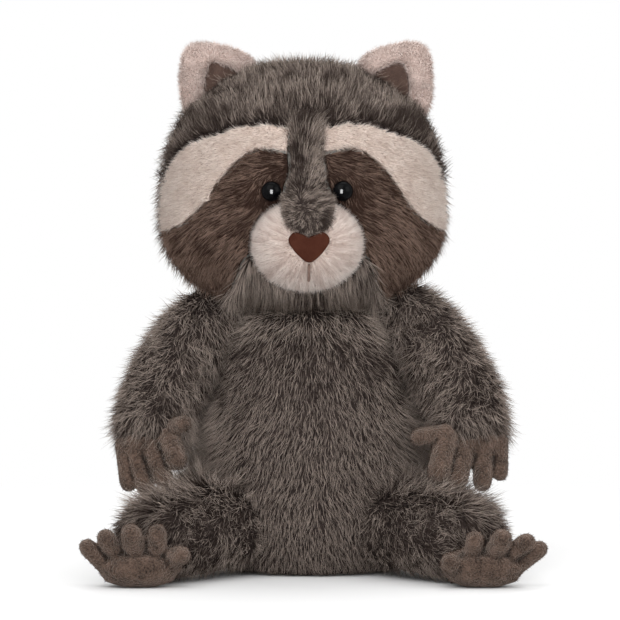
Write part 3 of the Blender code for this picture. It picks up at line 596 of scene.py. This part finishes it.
def hairMesh(name, roots, tips, radius, tones, turns):
    # Sets a needle along each hair and lays its UV: tone across, root to tip along.
    ring = ringOffsets(unit(tips - roots), radius, turns)
    points = np.stack([roots + ring[0], roots + ring[1], roots + ring[2], tips], axis=1)
    points[:, :, 2] = np.maximum(points[:, :, 2], floorClearance)
    count, corners = points.shape[:2]
    allFaces = (needleFaces[None] + (np.arange(count) * corners)[:, None, None]).reshape(-1, 3)
    column = np.floor(np.clip(tones, 0, 0.9999) * toneColumns)
    uvAcross = (column[:, None, None] + 0.1 + 0.8 * needleAcross[None]) / toneColumns
    uvAlong = np.broadcast_to(0.02 + 0.96 * needleAlong[None], uvAcross.shape)
    corner = np.stack([uvAcross, uvAlong], axis=-1)
    return fillMesh(name, points.reshape(-1, 3), allFaces, corner.reshape(-1, 2))


def scatterRoots(pieces, count, keep, rng):
    # Roots spread by area over the faces that keep lets through, with the cloth's normal and hollow at each.
    points, normals, triangles, hollows, before = [], [], [], [], 0
    for piece in pieces:
        piecePoints, pieceNormals, pieceTriangles = meshArrays(piece)
        hollows.append(hollowDepth(piece))
        points.append(piecePoints)
        normals.append(pieceNormals)
        triangles.append(pieceTriangles + before)
        before += len(piecePoints)
    points, normals, triangles = np.concatenate(points), np.concatenate(normals), np.concatenate(triangles)
    hollows = np.concatenate(hollows)
    corners = points[triangles]
    areas = np.linalg.norm(np.cross(corners[:, 1] - corners[:, 0], corners[:, 2] - corners[:, 0]), axis=1) / 2
    middle = corners.mean(axis=1)
    facing = unit(normals[triangles].mean(axis=1))
    chance = areas * keep(middle, facing)
    total = np.cumsum(chance)
    spots = (np.arange(count) + rng.random(count)) / count * total[-1]
    face = np.minimum(np.searchsorted(total, spots), len(triangles) - 1)
    a, b = rng.random(count), rng.random(count)
    flip = a + b > 1
    a, b = np.where(flip, 1 - a, a), np.where(flip, 1 - b, b)
    weights = np.stack([1 - a - b, a, b], axis=1)[:, :, None]
    roots = (points[triangles[face]] * weights).sum(axis=1)
    facing = unit((normals[triangles[face]] * weights).sum(axis=1))
    return roots, facing, (hollows[triangles[face]] * weights[:, :, 0]).sum(axis=1)


def planned(plan, key, points, usual):
    # The plan's value, or what its own function says for each point.
    value = plan.get(key, usual)
    return value(points) if callable(value) else value


def growPile(name, plan, seed):
    # Hairs leave the cloth between its normal and the brushed way, sag a little and gather into tufts.
    # What the look of a pile is made of is in its plan; rootDepth is how far a hair starts under the cloth.
    rng = np.random.default_rng(seed)
    count = plan["count"]
    roots, normals, hollow = scatterRoots([skins[skin] for skin in plan["skins"]], count, plan["keep"], rng)
    patch = noiseVector(roots, plan["patch"], seed)
    brushed = plan["brush"](roots, normals) + patch * plan["swirl"]
    brushed = alongSurface(brushed, normals)
    length = plan["length"] * (0.65 + 0.7 * rng.random(count)) * planned(plan, "longer", roots, 1.0)
    lift = planned(plan, "lift", roots, 0.0)
    stand = np.clip(plan["stand"] + lift + 0.18 * rng.standard_normal(count), 0.08, 1.6)[:, None]
    stray = rng.standard_normal((count, 3)) * plan["stray"]
    direction = unit(brushed + normals * stand + stray)
    droop = unit(direction + brushed * plan["bend"] - up * plan.get("sag", 0.0))
    roots = roots - normals * rootDepth
    tips = roots + direction * length[:, None] * lengthSplit[0] + droop * length[:, None] * lengthSplit[1]
    tufts, tuftTone = nearestTuft(roots, plan["tuft"], seed + 11)
    gather = tufts - roots
    gather = (gather - normals * dot(gather, normals)) * plan["gather"]
    tips = tips + gather
    tones = toneMix["own"] * rng.random(count) + toneMix["tuft"] * tuftTone
    tones = tones + toneMix["patch"] * softNoise(roots, plan["patch"] * 0.6, seed + 23)
    tones = (tones - 0.5) * plan["contrast"] + 0.5 + planned(plan, "tint", roots, 0.0)
    # Painted shade: hair tones darken where the cloth lies in a crease.
    tones = np.clip(tones - plan.get("creaseShade", 0.0) * np.clip(hollow / (0.5 * mm), 0, 1), 0, 1)
    radius = plan["thick"] * (0.75 + 0.5 * rng.random(count))
    turns = rng.random(count) * math.tau
    piece = hairMesh(name, roots, tips, radius, tones, turns)
    piece.data.materials.append(hairMaterials[plan["look"]])
    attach(piece, "root")
    return piece


def outerFace(bulk):
    # Only the face of a panel that looks out of the bulk.
    centre = np.array(bulk["centre"])
    return lambda points, normals: (dot(unit(points - centre), normals)[:, 0] > 0.25) * 1.0


def looksForward(points, normals):
    return (normals[:, 1] < 0.2) * 1.0


def clearOf(*bulks):
    # Only what isn't sunk in the given bulks.
    def keep(points, normals):
        seen = np.ones(len(points))
        for bulk in bulks:
            seen = seen * (inBulk(bulk, points) > 0.97)
        return seen
    return keep


def both(*tests):
    def keep(points, normals):
        seen = np.ones(len(points))
        for test in tests:
            seen = seen * test(points, normals)
        return seen
    return keep


def aboveFloor(points, normals):
    return 1.0 * (normals[:, 2] > -0.9)


def brushCrown(points, normals):
    # Upwards from the face, fanning outwards and back over the top.
    fan = fromMiddle(points) / headBulk["side"]
    return wayOf(points, fan * 0.9, 0.45, 1.0)


def crownLength(points):
    # Shorter beside the ear linings, so that they show.
    off = np.abs(fromMiddle(points))
    return 1 - 0.45 * fade(26 * mm, 34 * mm, off) * fade(228 * mm, 238 * mm, points[:, 2])


def stripeLength(points):
    # Longer towards the crown, which it runs into, and short over the nose.
    low = 1 - fade(175 * mm, 184 * mm, points[:, 2])
    return 0.85 - 0.25 * low + 0.9 * fade(200 * mm, 222 * mm, points[:, 2])


def partingTint(points):
    # Dark down the middle line of the stripe and at its lower end, paler beside the line.
    off = fromMiddle(points) / (3.5 * mm)
    line = np.exp(-off ** 2) * fade(188 * mm, 205 * mm, points[:, 2])
    low = 1 - fade(176 * mm, 192 * mm, points[:, 2])
    return -0.04 - 0.45 * line - 0.35 * low


def seamRootsAndShade(points):
    # The crown's pile is dark where it starts above the brows: partly its dark roots showing, partly painted
    # shade at the seam.
    return -0.1 - 0.4 * (1 - fade(224 * mm, 234 * mm, points[:, 2]))


def torsoLength(points):
    # Fuller down the flanks behind the hands, and round the neck under the chin.
    off = np.abs(points[:, 0])
    low = fade(28 * mm, 44 * mm, points[:, 2]) * (1 - fade(80 * mm, 96 * mm, points[:, 2]))
    return 1 + 1.8 * fade(34 * mm, 48 * mm, off) * low + 0.6 * fade(112 * mm, 124 * mm, points[:, 2])


def torsoLift(points):
    return 0.7 * (torsoLength(points) - 1)


def torsoPaintedLight(points):
    # Painted light and shade: paler over the belly than on the chest, standing in for the chin's shade on the
    # chest, and paler again under the chin, painted against the shadow there.
    return 0.95 * (1 - fade(50 * mm, 118 * mm, points[:, 2])) + 0.85 * fade(116 * mm, 128 * mm, points[:, 2])


def thighLength(points):
    # Fuller on top, where the hands rest, and most of all beside the flank.
    off = np.abs(points[:, 0])
    flank = fade(48 * mm, 54 * mm, off) * (1 - fade(74 * mm, 82 * mm, off))
    return 1 + 1.1 * fade(30 * mm, 42 * mm, points[:, 2]) + 0.9 * flank * fade(38 * mm, 48 * mm, points[:, 2])


def sleeveLength(points):
    # The cuff hangs over the wrist.
    inner = 1 - fade(62 * mm, 74 * mm, np.abs(points[:, 0]))
    return 1 + (0.35 + 0.5 * inner) * (1 - fade(66 * mm, 86 * mm, points[:, 2]))


def nearSideSeam(points):
    # 1 at the seam behind the face, 0 from 9 mm behind it.
    return 1 - fade(-8 * mm, 1 * mm, points[:, 1])


def headBackLift(points):
    return 0.5 * nearSideSeam(points)


def brushHeadBack(points, normals):
    # Down and back, but forwards over the seam behind the face.
    fan = fromMiddle(points) / headBulk["side"]
    return wayOf(points, fan * 0.35, 0.35 - 1.6 * nearSideSeam(points), -1.0)


def overSideSeam(points):
    # How far the hairs of the face turn back over that seam: 1 at the sides of the head.
    return 0.9 * fade(50 * mm, 66 * mm, np.abs(fromMiddle(points)))


def brushStripe(points, normals):
    # Away from the middle line and up, but from a whorl on the snout down over the nose.
    off = np.clip(fromMiddle(points) / (8 * mm), -1, 1)
    rise = np.clip((points[:, 2] - 190 * mm) / (7 * mm), -1, 1)
    spread = np.where(rise < 0, 1.4 - 0.8 * np.abs(rise), 1.4 - 0.7 * np.abs(rise))
    return wayOf(points, off * spread, -0.2 * (rise < 0), rise)


eyeSpots = [np.array(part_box(f"eye_{side}")).mean(axis=0) for side in ("left", "right")]


def nearEye(points):
    # 1 beside an eye, 0 from 13 mm away, measured across the face.
    away = [np.hypot(points[:, 0] - spot[0], points[:, 2] - spot[2]) for spot in eyeSpots]
    return 1 - fade(5 * mm, 13 * mm, np.minimum(*away))


def cheekLength(points):
    return 1 - 0.45 * nearEye(points)


def cheekPaintedShade(points):
    # Painted shade: dark round the eye and under the brow, paler out towards the jaw.
    low = 1 - fade(150 * mm, 200 * mm, points[:, 2])
    return 0.3 * low - 0.08 - 0.4 * nearEye(points)


def brushCheek(points, normals):
    # Outwards beside the eye, turning down towards the jaw.
    side = np.sign(fromMiddle(points))
    low = 1 - fade(140 * mm, 205 * mm, points[:, 2])
    near = nearEye(points)
    across = side * (1 - 0.45 * low - 0.7 * near)
    return wayOf(points, across, overSideSeam(points), -0.25 - 1.1 * low - near)


def brushBrow(points, normals):
    side = np.sign(fromMiddle(points))
    return wayOf(points, side, overSideSeam(points), -0.35)


def brushChin(points, normals):
    fan = fromMiddle(points) / headBulk["side"]
    return wayOf(points, fan * 0.6, -0.1, -1.0)


def brushTorso(points, normals):
    fan = points[:, 0] / torsoBulk["side"]
    return wayOf(points, fan * 0.45, 0.0, -1.0)


def brushArm(points, normals):
    side = np.sign(points[:, 0])
    inner = 1 - fade(62 * mm, 76 * mm, np.abs(points[:, 0]))
    return wayOf(points, side * (0.35 - 0.6 * inner), -0.35, -1.0)


def brushLeg(points, normals):
    side = np.sign(points[:, 0])
    return wayOf(points, side * 0.6, -0.8, -0.5)


def brushTail(points, normals):
    return wayOf(points, 0.0, 1.0, 0.15)


def brushFoot(points, normals):
    side = np.sign(points[:, 0])
    return wayOf(points, side, 0.0, 0.1)


def brushEar(points, normals):
    side = np.sign(fromMiddle(points))
    # Away from the middle of each ear's foot.
    return points - wayOf(points, side * 38 * mm - 4 * mm, -4 * mm, 226 * mm)


noseAt = np.array(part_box("nose")).mean(axis=0)


def brushMuzzle(points, normals):
    return points - noseAt


def muzzleTint(points):
    # Streaks in even steps of the angle round the nose, darker beside the nose than at the rim.
    off = points - noseAt
    around = np.arctan2(off[:, 2], off[:, 0])
    out = np.hypot(off[:, 0], off[:, 2])
    streak = softNoise(wayOf(points, around * 13, out / (7 * mm), 0.0), 1.0, 77)
    return 0.9 * (streak - 0.5) + 0.35 * fade(8 * mm, 22 * mm, out) - 0.1


def muzzleFront(points, normals):
    # Leaves the nose, and what the stripe and the head cover, bare of cream hairs.
    off = points - noseAt
    nose = (off[:, 0] / (8 * mm)) ** 2 + (off[:, 2] / (5.6 * mm)) ** 2 > 1
    stripe = (np.abs(off[:, 0]) > 8 * mm) | (off[:, 2] < 6 * mm)
    return 1.0 * (nose & stripe & (inBulk(headBulk, points) > 0.95))


longPile = {"look": "greyPile", "slot": "grey_pile", "length": 7.5 * mm, "thick": 0.2 * mm, "stand": 0.6,
            "stray": 0.22, "bend": 0.2, "swirl": 0.45, "patch": 14 * mm, "tuft": 2.2 * mm, "gather": 0.5,
            "contrast": 2.5}
shortPile = {"look": "creamPile", "slot": "cream_pile", "length": 3.6 * mm, "thick": 0.16 * mm, "stand": 0.6,
             "stray": 0.22, "bend": 0.0, "swirl": 0.35, "patch": 7 * mm, "tuft": 1.6 * mm, "gather": 0.35,
             "contrast": 1.5}
# The suede nap's darkening in creases is painted shade.
suedeNap = {**shortPile, "look": "suedePile", "slot": "suede", "keep": aboveFloor, "length": 1.5 * mm,
            "thick": 0.27 * mm, "stand": 1.3, "stray": 0.35, "swirl": 0.8, "patch": 3 * mm, "tuft": 0.9 * mm,
            "contrast": 2.2, "creaseShade": 1.0}
headOut = outerFace(headBulk)
headOffTorso = both(headOut, clearOf(torsoBulk))
tailHair = {**longPile, "count": 3300, "brush": brushTail, "keep": clearOf(torsoBulk)}
pilePlans = {
    "crownPile": {**longPile, "skins": ["crownSkin"], "count": 15500, "brush": brushCrown, "keep": headOut,
                  "stand": 0.65, "longer": crownLength, "tint": seamRootsAndShade},
    "headBackPile": {**longPile, "skins": ["headBackSkin"], "count": 11500, "brush": brushHeadBack,
                     "keep": headOffTorso, "lift": headBackLift, "tint": 0.12},
    "stripePile": {**longPile, "skins": ["stripeSkin"], "count": 7500, "brush": brushStripe,
                   "keep": looksForward, "length": 5 * mm, "thick": 0.17 * mm, "tuft": 2 * mm,
                   "longer": stripeLength, "tint": partingTint},
    "chinPile": {**longPile, "skins": ["chinSkin"], "count": 7000, "brush": brushChin, "keep": headOffTorso,
                 "length": 12.5 * mm, "thick": 0.24 * mm, "stand": 0.2, "stray": 0.12, "swirl": 0.25,
                 "sag": 0.5, "contrast": 3.2, "tint": 0.27},
    "torsoPile": {**longPile, "skins": ["torsoSkin"], "count": 38500, "brush": brushTorso,
                  "keep": both(aboveFloor, clearOf(headBulk)), "length": 6.6 * mm, "stand": 0.46,
                  "stray": 0.24, "patch": 7 * mm, "tuft": 1.8 * mm, "contrast": 3.0,
                  "longer": torsoLength, "lift": torsoLift, "tint": torsoPaintedLight},
    "tailPile": {**tailHair, "skins": ["tailRing1Skin", "tailRing3Skin", "tailRing5Skin"]},
    "tailDarkPile": {**tailHair, "skins": ["tailRing2Skin", "tailRing4Skin", "tailRing6Skin"],
                     "look": "darkPile", "slot": "dark_pile"},
    "muzzlePile": {**shortPile, "skins": ["muzzleSkin"], "count": 12000, "brush": brushMuzzle,
                   "keep": muzzleFront, "look": "muzzlePile", "length": 4.6 * mm, "thick": 0.18 * mm,
                   "stand": 0.8, "swirl": 0.0, "stray": 0.06, "gather": 0.0, "contrast": 1.0,
                   "tint": muzzleTint},
}
sidePiles = {
    "cheek": {**longPile, "count": 7500, "brush": brushCheek, "keep": headOut, "look": "brownPile",
              "slot": "brown_pile", "length": 6.5 * mm, "thick": 0.18 * mm, "stand": 0.35, "stray": 0.12,
              "swirl": 0.25, "contrast": 2.4, "longer": cheekLength, "tint": cheekPaintedShade},
    "brow": {**shortPile, "count": 8000, "brush": brushBrow, "keep": headOut, "length": 4.2 * mm,
             "thick": 0.19 * mm, "stand": 0.8, "swirl": 0.5, "contrast": 2.0, "tint": 0.12},
    "ear": {**shortPile, "count": 7500, "brush": brushEar, "keep": clearOf(headBulk), "look": "earPile",
            "length": 3.2 * mm, "thick": 0.19 * mm, "stand": 1.1, "swirl": 0.6, "contrast": 2.0},
    "arm": {**longPile, "count": 13000, "brush": brushArm, "keep": clearOf(headBulk, torsoBulk),
            "length": 8 * mm, "stand": 0.7, "stray": 0.4, "swirl": 1.0, "patch": 8 * mm, "tuft": 3.2 * mm,
            "gather": 0.6, "longer": sleeveLength, "tint": 0.18},
    "leg": {**longPile, "count": 11000, "brush": brushLeg, "keep": both(aboveFloor, clearOf(torsoBulk)),
            "length": 7 * mm, "stand": 0.7, "stray": 0.3, "swirl": 0.8, "patch": 8 * mm, "tuft": 3.2 * mm,
            "gather": 0.6, "longer": thighLength},
    "hand": {**suedeNap, "count": 3700, "brush": brushArm},
    "foot": {**suedeNap, "count": 4200, "brush": brushFoot},
}
for side in ("Left", "Right"):
    for part, plan in sidePiles.items():
        ending = "Nap" if part in ("hand", "foot") else "Pile"
        pilePlans[f"{part}{side}{ending}"] = {**plan, "skins": [f"{part}{side}Skin"]}
piles = {}
firstSeed, seedStep = 1000, 50
for seed, (name, plan) in enumerate(pilePlans.items()):
    piles[name] = growPile(name, plan, firstSeed + seedStep * seed)
pileFaces = sum(len(piece.data.polygons) for piece in piles.values())
print("pile grown:", len(piles), "pieces with", pileFaces, "triangles")


# The eyes, the stitch and the hidden pieces

def turnedSurface(name, profile, centre, axis, sides):
    # A profile of (radius, height) points spun about an axis: each point times cos and sin of the angle.
    axis = unit(np.array(axis, dtype=float))
    sideways = unit(np.cross(up, axis))
    over = np.cross(axis, sideways)
    profile = np.array(profile)
    angles = np.arange(sides) * math.tau / sides
    spokes = np.cos(angles)[:, None] * sideways + np.sin(angles)[:, None] * over
    body = profile[1:-1]
    rings = centre + body[:, None, 1:2] * axis + body[:, None, 0:1] * spokes[None]
    ends = np.stack([centre + profile[0, 1] * axis, centre + profile[-1, 1] * axis])
    count = len(body)
    i = np.arange(count - 1)[:, None] * sides
    j = np.arange(sides)[None]
    k = (j + 1) % sides
    lower = np.stack([i + j, i + sides + j, i + sides + k], axis=-1).reshape(-1, 3)
    higher = np.stack([i + j, i + sides + k, i + k], axis=-1).reshape(-1, 3)
    first, last = count * sides, count * sides + 1
    j, k = j[0], k[0]
    top = np.stack([np.full(sides, first), j, k], axis=-1)
    bottomRing = (count - 1) * sides
    bottom = np.stack([np.full(sides, last), bottomRing + k, bottomRing + j], axis=-1)
    faces = np.concatenate([lower, higher, top, bottom])
    return fillMesh(name, np.concatenate([rings.reshape(-1, 3), ends]), faces)


eyeShape = {"radius": 5.0 * mm, "bulge": 4.4 * mm, "shank": 2.0 * mm, "shankLength": 11 * mm,
            "across": 0.247, "up": 0.215, "sides": 48, "domeSteps": 14}


def glossMaterial(name, colour, roughness):
    # Black moulded plastic: a hard gloss over faint cloudiness.
    material, tree, shader = newMaterial(name, roughness, 0.0, 0.05)
    mask = noiseMask(tree, addNode(tree, "ShaderNodeTexCoord").outputs["Object"], 300.0, 2.0)
    cloudy = srgb(*[part + 6 for part in colour])
    tree.links.new(mixColours(tree, mask, srgb(*colour), cloudy), shader.inputs["Base Color"])
    return material


def bulkFrontY(bulk, x, z):
    # The front face's y at a place across and up, in the bulk's own frame.
    rise = z / (bulk["up"] if z > 0 else bulk["down"])
    left = 1 - abs(x / bulk["side"]) ** bulk["power"] - abs(rise) ** bulk["power"]
    return -bulk["front"] * max(left, 0) ** (1 / bulk["power"])


def headToWorld(vector, isPoint=True):
    turn = math.radians(headBulk["turn"])
    x = vector[0] * math.cos(turn) - vector[1] * math.sin(turn)
    y = vector[0] * math.sin(turn) + vector[1] * math.cos(turn)
    place = np.array((x, y, vector[2]))
    return place + np.array(headBulk["centre"]) if isPoint else place


def makeEye(side, word, material):
    x = side * eyeShape["across"] * headBulk["side"]
    z = eyeShape["up"] * headBulk["up"]
    step = 2 * mm
    slopeX = (bulkFrontY(headBulk, x + step, z) - bulkFrontY(headBulk, x - step, z)) / (2 * step)
    slopeZ = (bulkFrontY(headBulk, x, z + step) - bulkFrontY(headBulk, x, z - step)) / (2 * step)
    centre = headToWorld((x, bulkFrontY(headBulk, x, z), z))
    axis = headToWorld((slopeX, -1.0, slopeZ), isPoint=False)
    radius, bulge = eyeShape["radius"], eyeShape["bulge"]
    angles = np.linspace(math.pi / 2, 0, eyeShape["domeSteps"])
    rim, edge = 0.6 * mm, 0.7 * mm
    profile = [(radius * math.cos(a), rim + edge + (bulge - edge) * math.sin(a)) for a in angles]
    profile += [(radius + 0.05 * mm, rim + 0.45 * mm), (radius, rim + 0.15 * mm), (radius - 0.2 * mm, rim)]
    profile += [(eyeShape["shank"], rim), (eyeShape["shank"], -eyeShape["shankLength"])]
    profile += [(0.0, -eyeShape["shankLength"])]
    eye = turnedSurface(f"eye{word}Dome", profile, centre, axis, eyeShape["sides"])
    eye.data.materials.append(material)
    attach(eye, "root")
    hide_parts(f"eye_{word.lower()}")
    return eye


eyeGloss = glossMaterial("eyeBlack", (3, 3, 4), 0.05)
for side, word in ((-1, "Right"), (1, "Left")):
    makeEye(side, word, eyeGloss)


def plainNodes(names, look):
    for name in names:
        node = nodes[name]
        node.data.materials.clear()
        node.data.materials.append(napMaterials[look])


plainNodes(["bean_pouch"], "pouchCloth")
plainNodes(["eye_washer_left", "eye_washer_right"], "washerPlastic")
plainNodes(["mouth_stitch"], "stitchThread")
print("eyes and hidden pieces finished")


# Camera, floor and light

view = {"distance": 8.0, "elevation": 5.0, "target": (-0.0005, 0.0, 0.1300), "frameWidth": 0.310}
aim = math.radians(view["elevation"])
camera = bpy.data.cameras.new("camera")
camera.sensor_width = 36.0
camera.lens = camera.sensor_width * view["distance"] / view["frameWidth"]
camera.clip_end = 20.0
cameraPiece = bpy.data.objects.new("camera", camera)
cameraPiece.location = (view["target"][0], view["target"][1] - view["distance"] * math.cos(aim),
                        view["target"][2] + view["distance"] * math.sin(aim))
cameraPiece.rotation_euler = (math.pi / 2 - aim, 0.0, 0.0)
scene.collection.objects.link(cameraPiece)
scene.camera = cameraPiece

light = {
    "key": {"at": (-0.5, -1.3, 1.5), "size": 1.7, "power": 24.0},
    "fill": {"at": (1.3, -1.0, 0.8), "size": 1.2, "power": 11.0},
    "top": {"at": (0.1, 0.5, 1.7), "size": 1.2, "power": 12.0},
    "front": {"at": (-0.2, -2.2, 0.3), "size": 1.6, "power": 36.0},
    "back": {"at": (0.3, 2.0, 1.1), "size": 1.4, "power": 20.0},
}
lampTarget = np.array((0.0, 0.0, 0.12))
for name, lamp in light.items():
    data = bpy.data.lights.new(name, "AREA")
    data.shape = "SQUARE"
    data.size = lamp["size"]
    data.energy = lamp["power"]
    piece = bpy.data.objects.new(name, data)
    place = np.array(lamp["at"])
    piece.location = place
    toward = lampTarget - place
    flat = math.hypot(toward[0], toward[1])
    piece.rotation_euler = (math.atan2(flat, -toward[2]), 0.0, math.atan2(toward[1], toward[0]) - math.pi / 2)
    scene.collection.objects.link(piece)

# A soft box near the lens that only gloss mirrors: the spark in the eyes
boxPlan = {"at": (-0.05, -0.70, 0.215), "wide": 0.24, "high": 0.40, "power": 44.0}
eyeBox = bpy.data.lights.new("eyeBox", "AREA")
eyeBox.shape = "RECTANGLE"
eyeBox.size = boxPlan["wide"]
eyeBox.size_y = boxPlan["high"]
eyeBox.energy = boxPlan["power"]
eyeBoxPiece = bpy.data.objects.new("eyeBox", eyeBox)
eyeBoxPiece.location = boxPlan["at"]
eyeBoxPiece.rotation_euler = (math.pi / 2, 0.0, 0.0)
eyeBoxPiece.visible_camera = False
eyeBoxPiece.visible_diffuse = False
scene.collection.objects.link(eyeBoxPiece)


def seenPlain(tree):
    # 1 for camera, glossy and transmission rays, which see plain white; 0 for the others.
    path = addNode(tree, "ShaderNodeLightPath").outputs
    either = addNode(tree, "ShaderNodeMath", {0: path["Is Camera Ray"], 1: path["Is Glossy Ray"]},
                     operation="MAXIMUM").outputs[0]
    either = addNode(tree, "ShaderNodeMath", {0: either, 1: path["Is Transmission Ray"]},
                     operation="MAXIMUM").outputs[0]
    return either


world = bpy.data.worlds.new("studio")
world.use_nodes = True
scene.world = world
tree = world.node_tree
backdrop = tree.nodes["Background"]
backdrop.inputs["Color"].default_value = (1.0, 1.0, 1.0, 1.0)
roomGlow = 0.55
strength = addNode(tree, "ShaderNodeMapRange", {"Value": seenPlain(tree), "To Min": roomGlow, "To Max": 1.0})
tree.links.new(strength.outputs["Result"], backdrop.inputs["Strength"])

floorPlan = {"reach": 6.0, "tone": 224, "fadeFrom": 0.14, "fadeTo": 0.45}
floorPoints = np.array([(-1, -1, 0), (1, -1, 0), (1, 1, 0), (-1, 1, 0)], dtype=float) * floorPlan["reach"]
floor = fillMesh("floor", floorPoints, np.array([(0, 1, 2, 3)]))
floorMaterial, tree, shader = newMaterial("floorWhite", 0.9, 0.0, 0.0)
shader.inputs["Base Color"].default_value = srgb(*[floorPlan["tone"]] * 3)
place = addNode(tree, "ShaderNodeTexCoord").outputs["Object"]
distance = addNode(tree, "ShaderNodeVectorMath", {0: place}, operation="LENGTH").outputs["Value"]
beyond = rampTo(tree, distance, floorPlan["fadeFrom"], floorPlan["fadeTo"])
share = addNode(tree, "ShaderNodeMath", {0: beyond, 1: seenPlain(tree)}, operation="MULTIPLY").outputs[0]
glow = addNode(tree, "ShaderNodeEmission", {"Color": (1.0, 1.0, 1.0, 1.0), "Strength": 1.0})
blend = addNode(tree, "ShaderNodeMixShader",
                {0: share, 1: shader.outputs["BSDF"], 2: glow.outputs["Emission"]})
tree.links.new(blend.outputs["Shader"], tree.nodes["Material Output"].inputs["Surface"])
floor.data.materials.append(floorMaterial)

scene.view_settings.view_transform = "Standard"
print("scene ready")
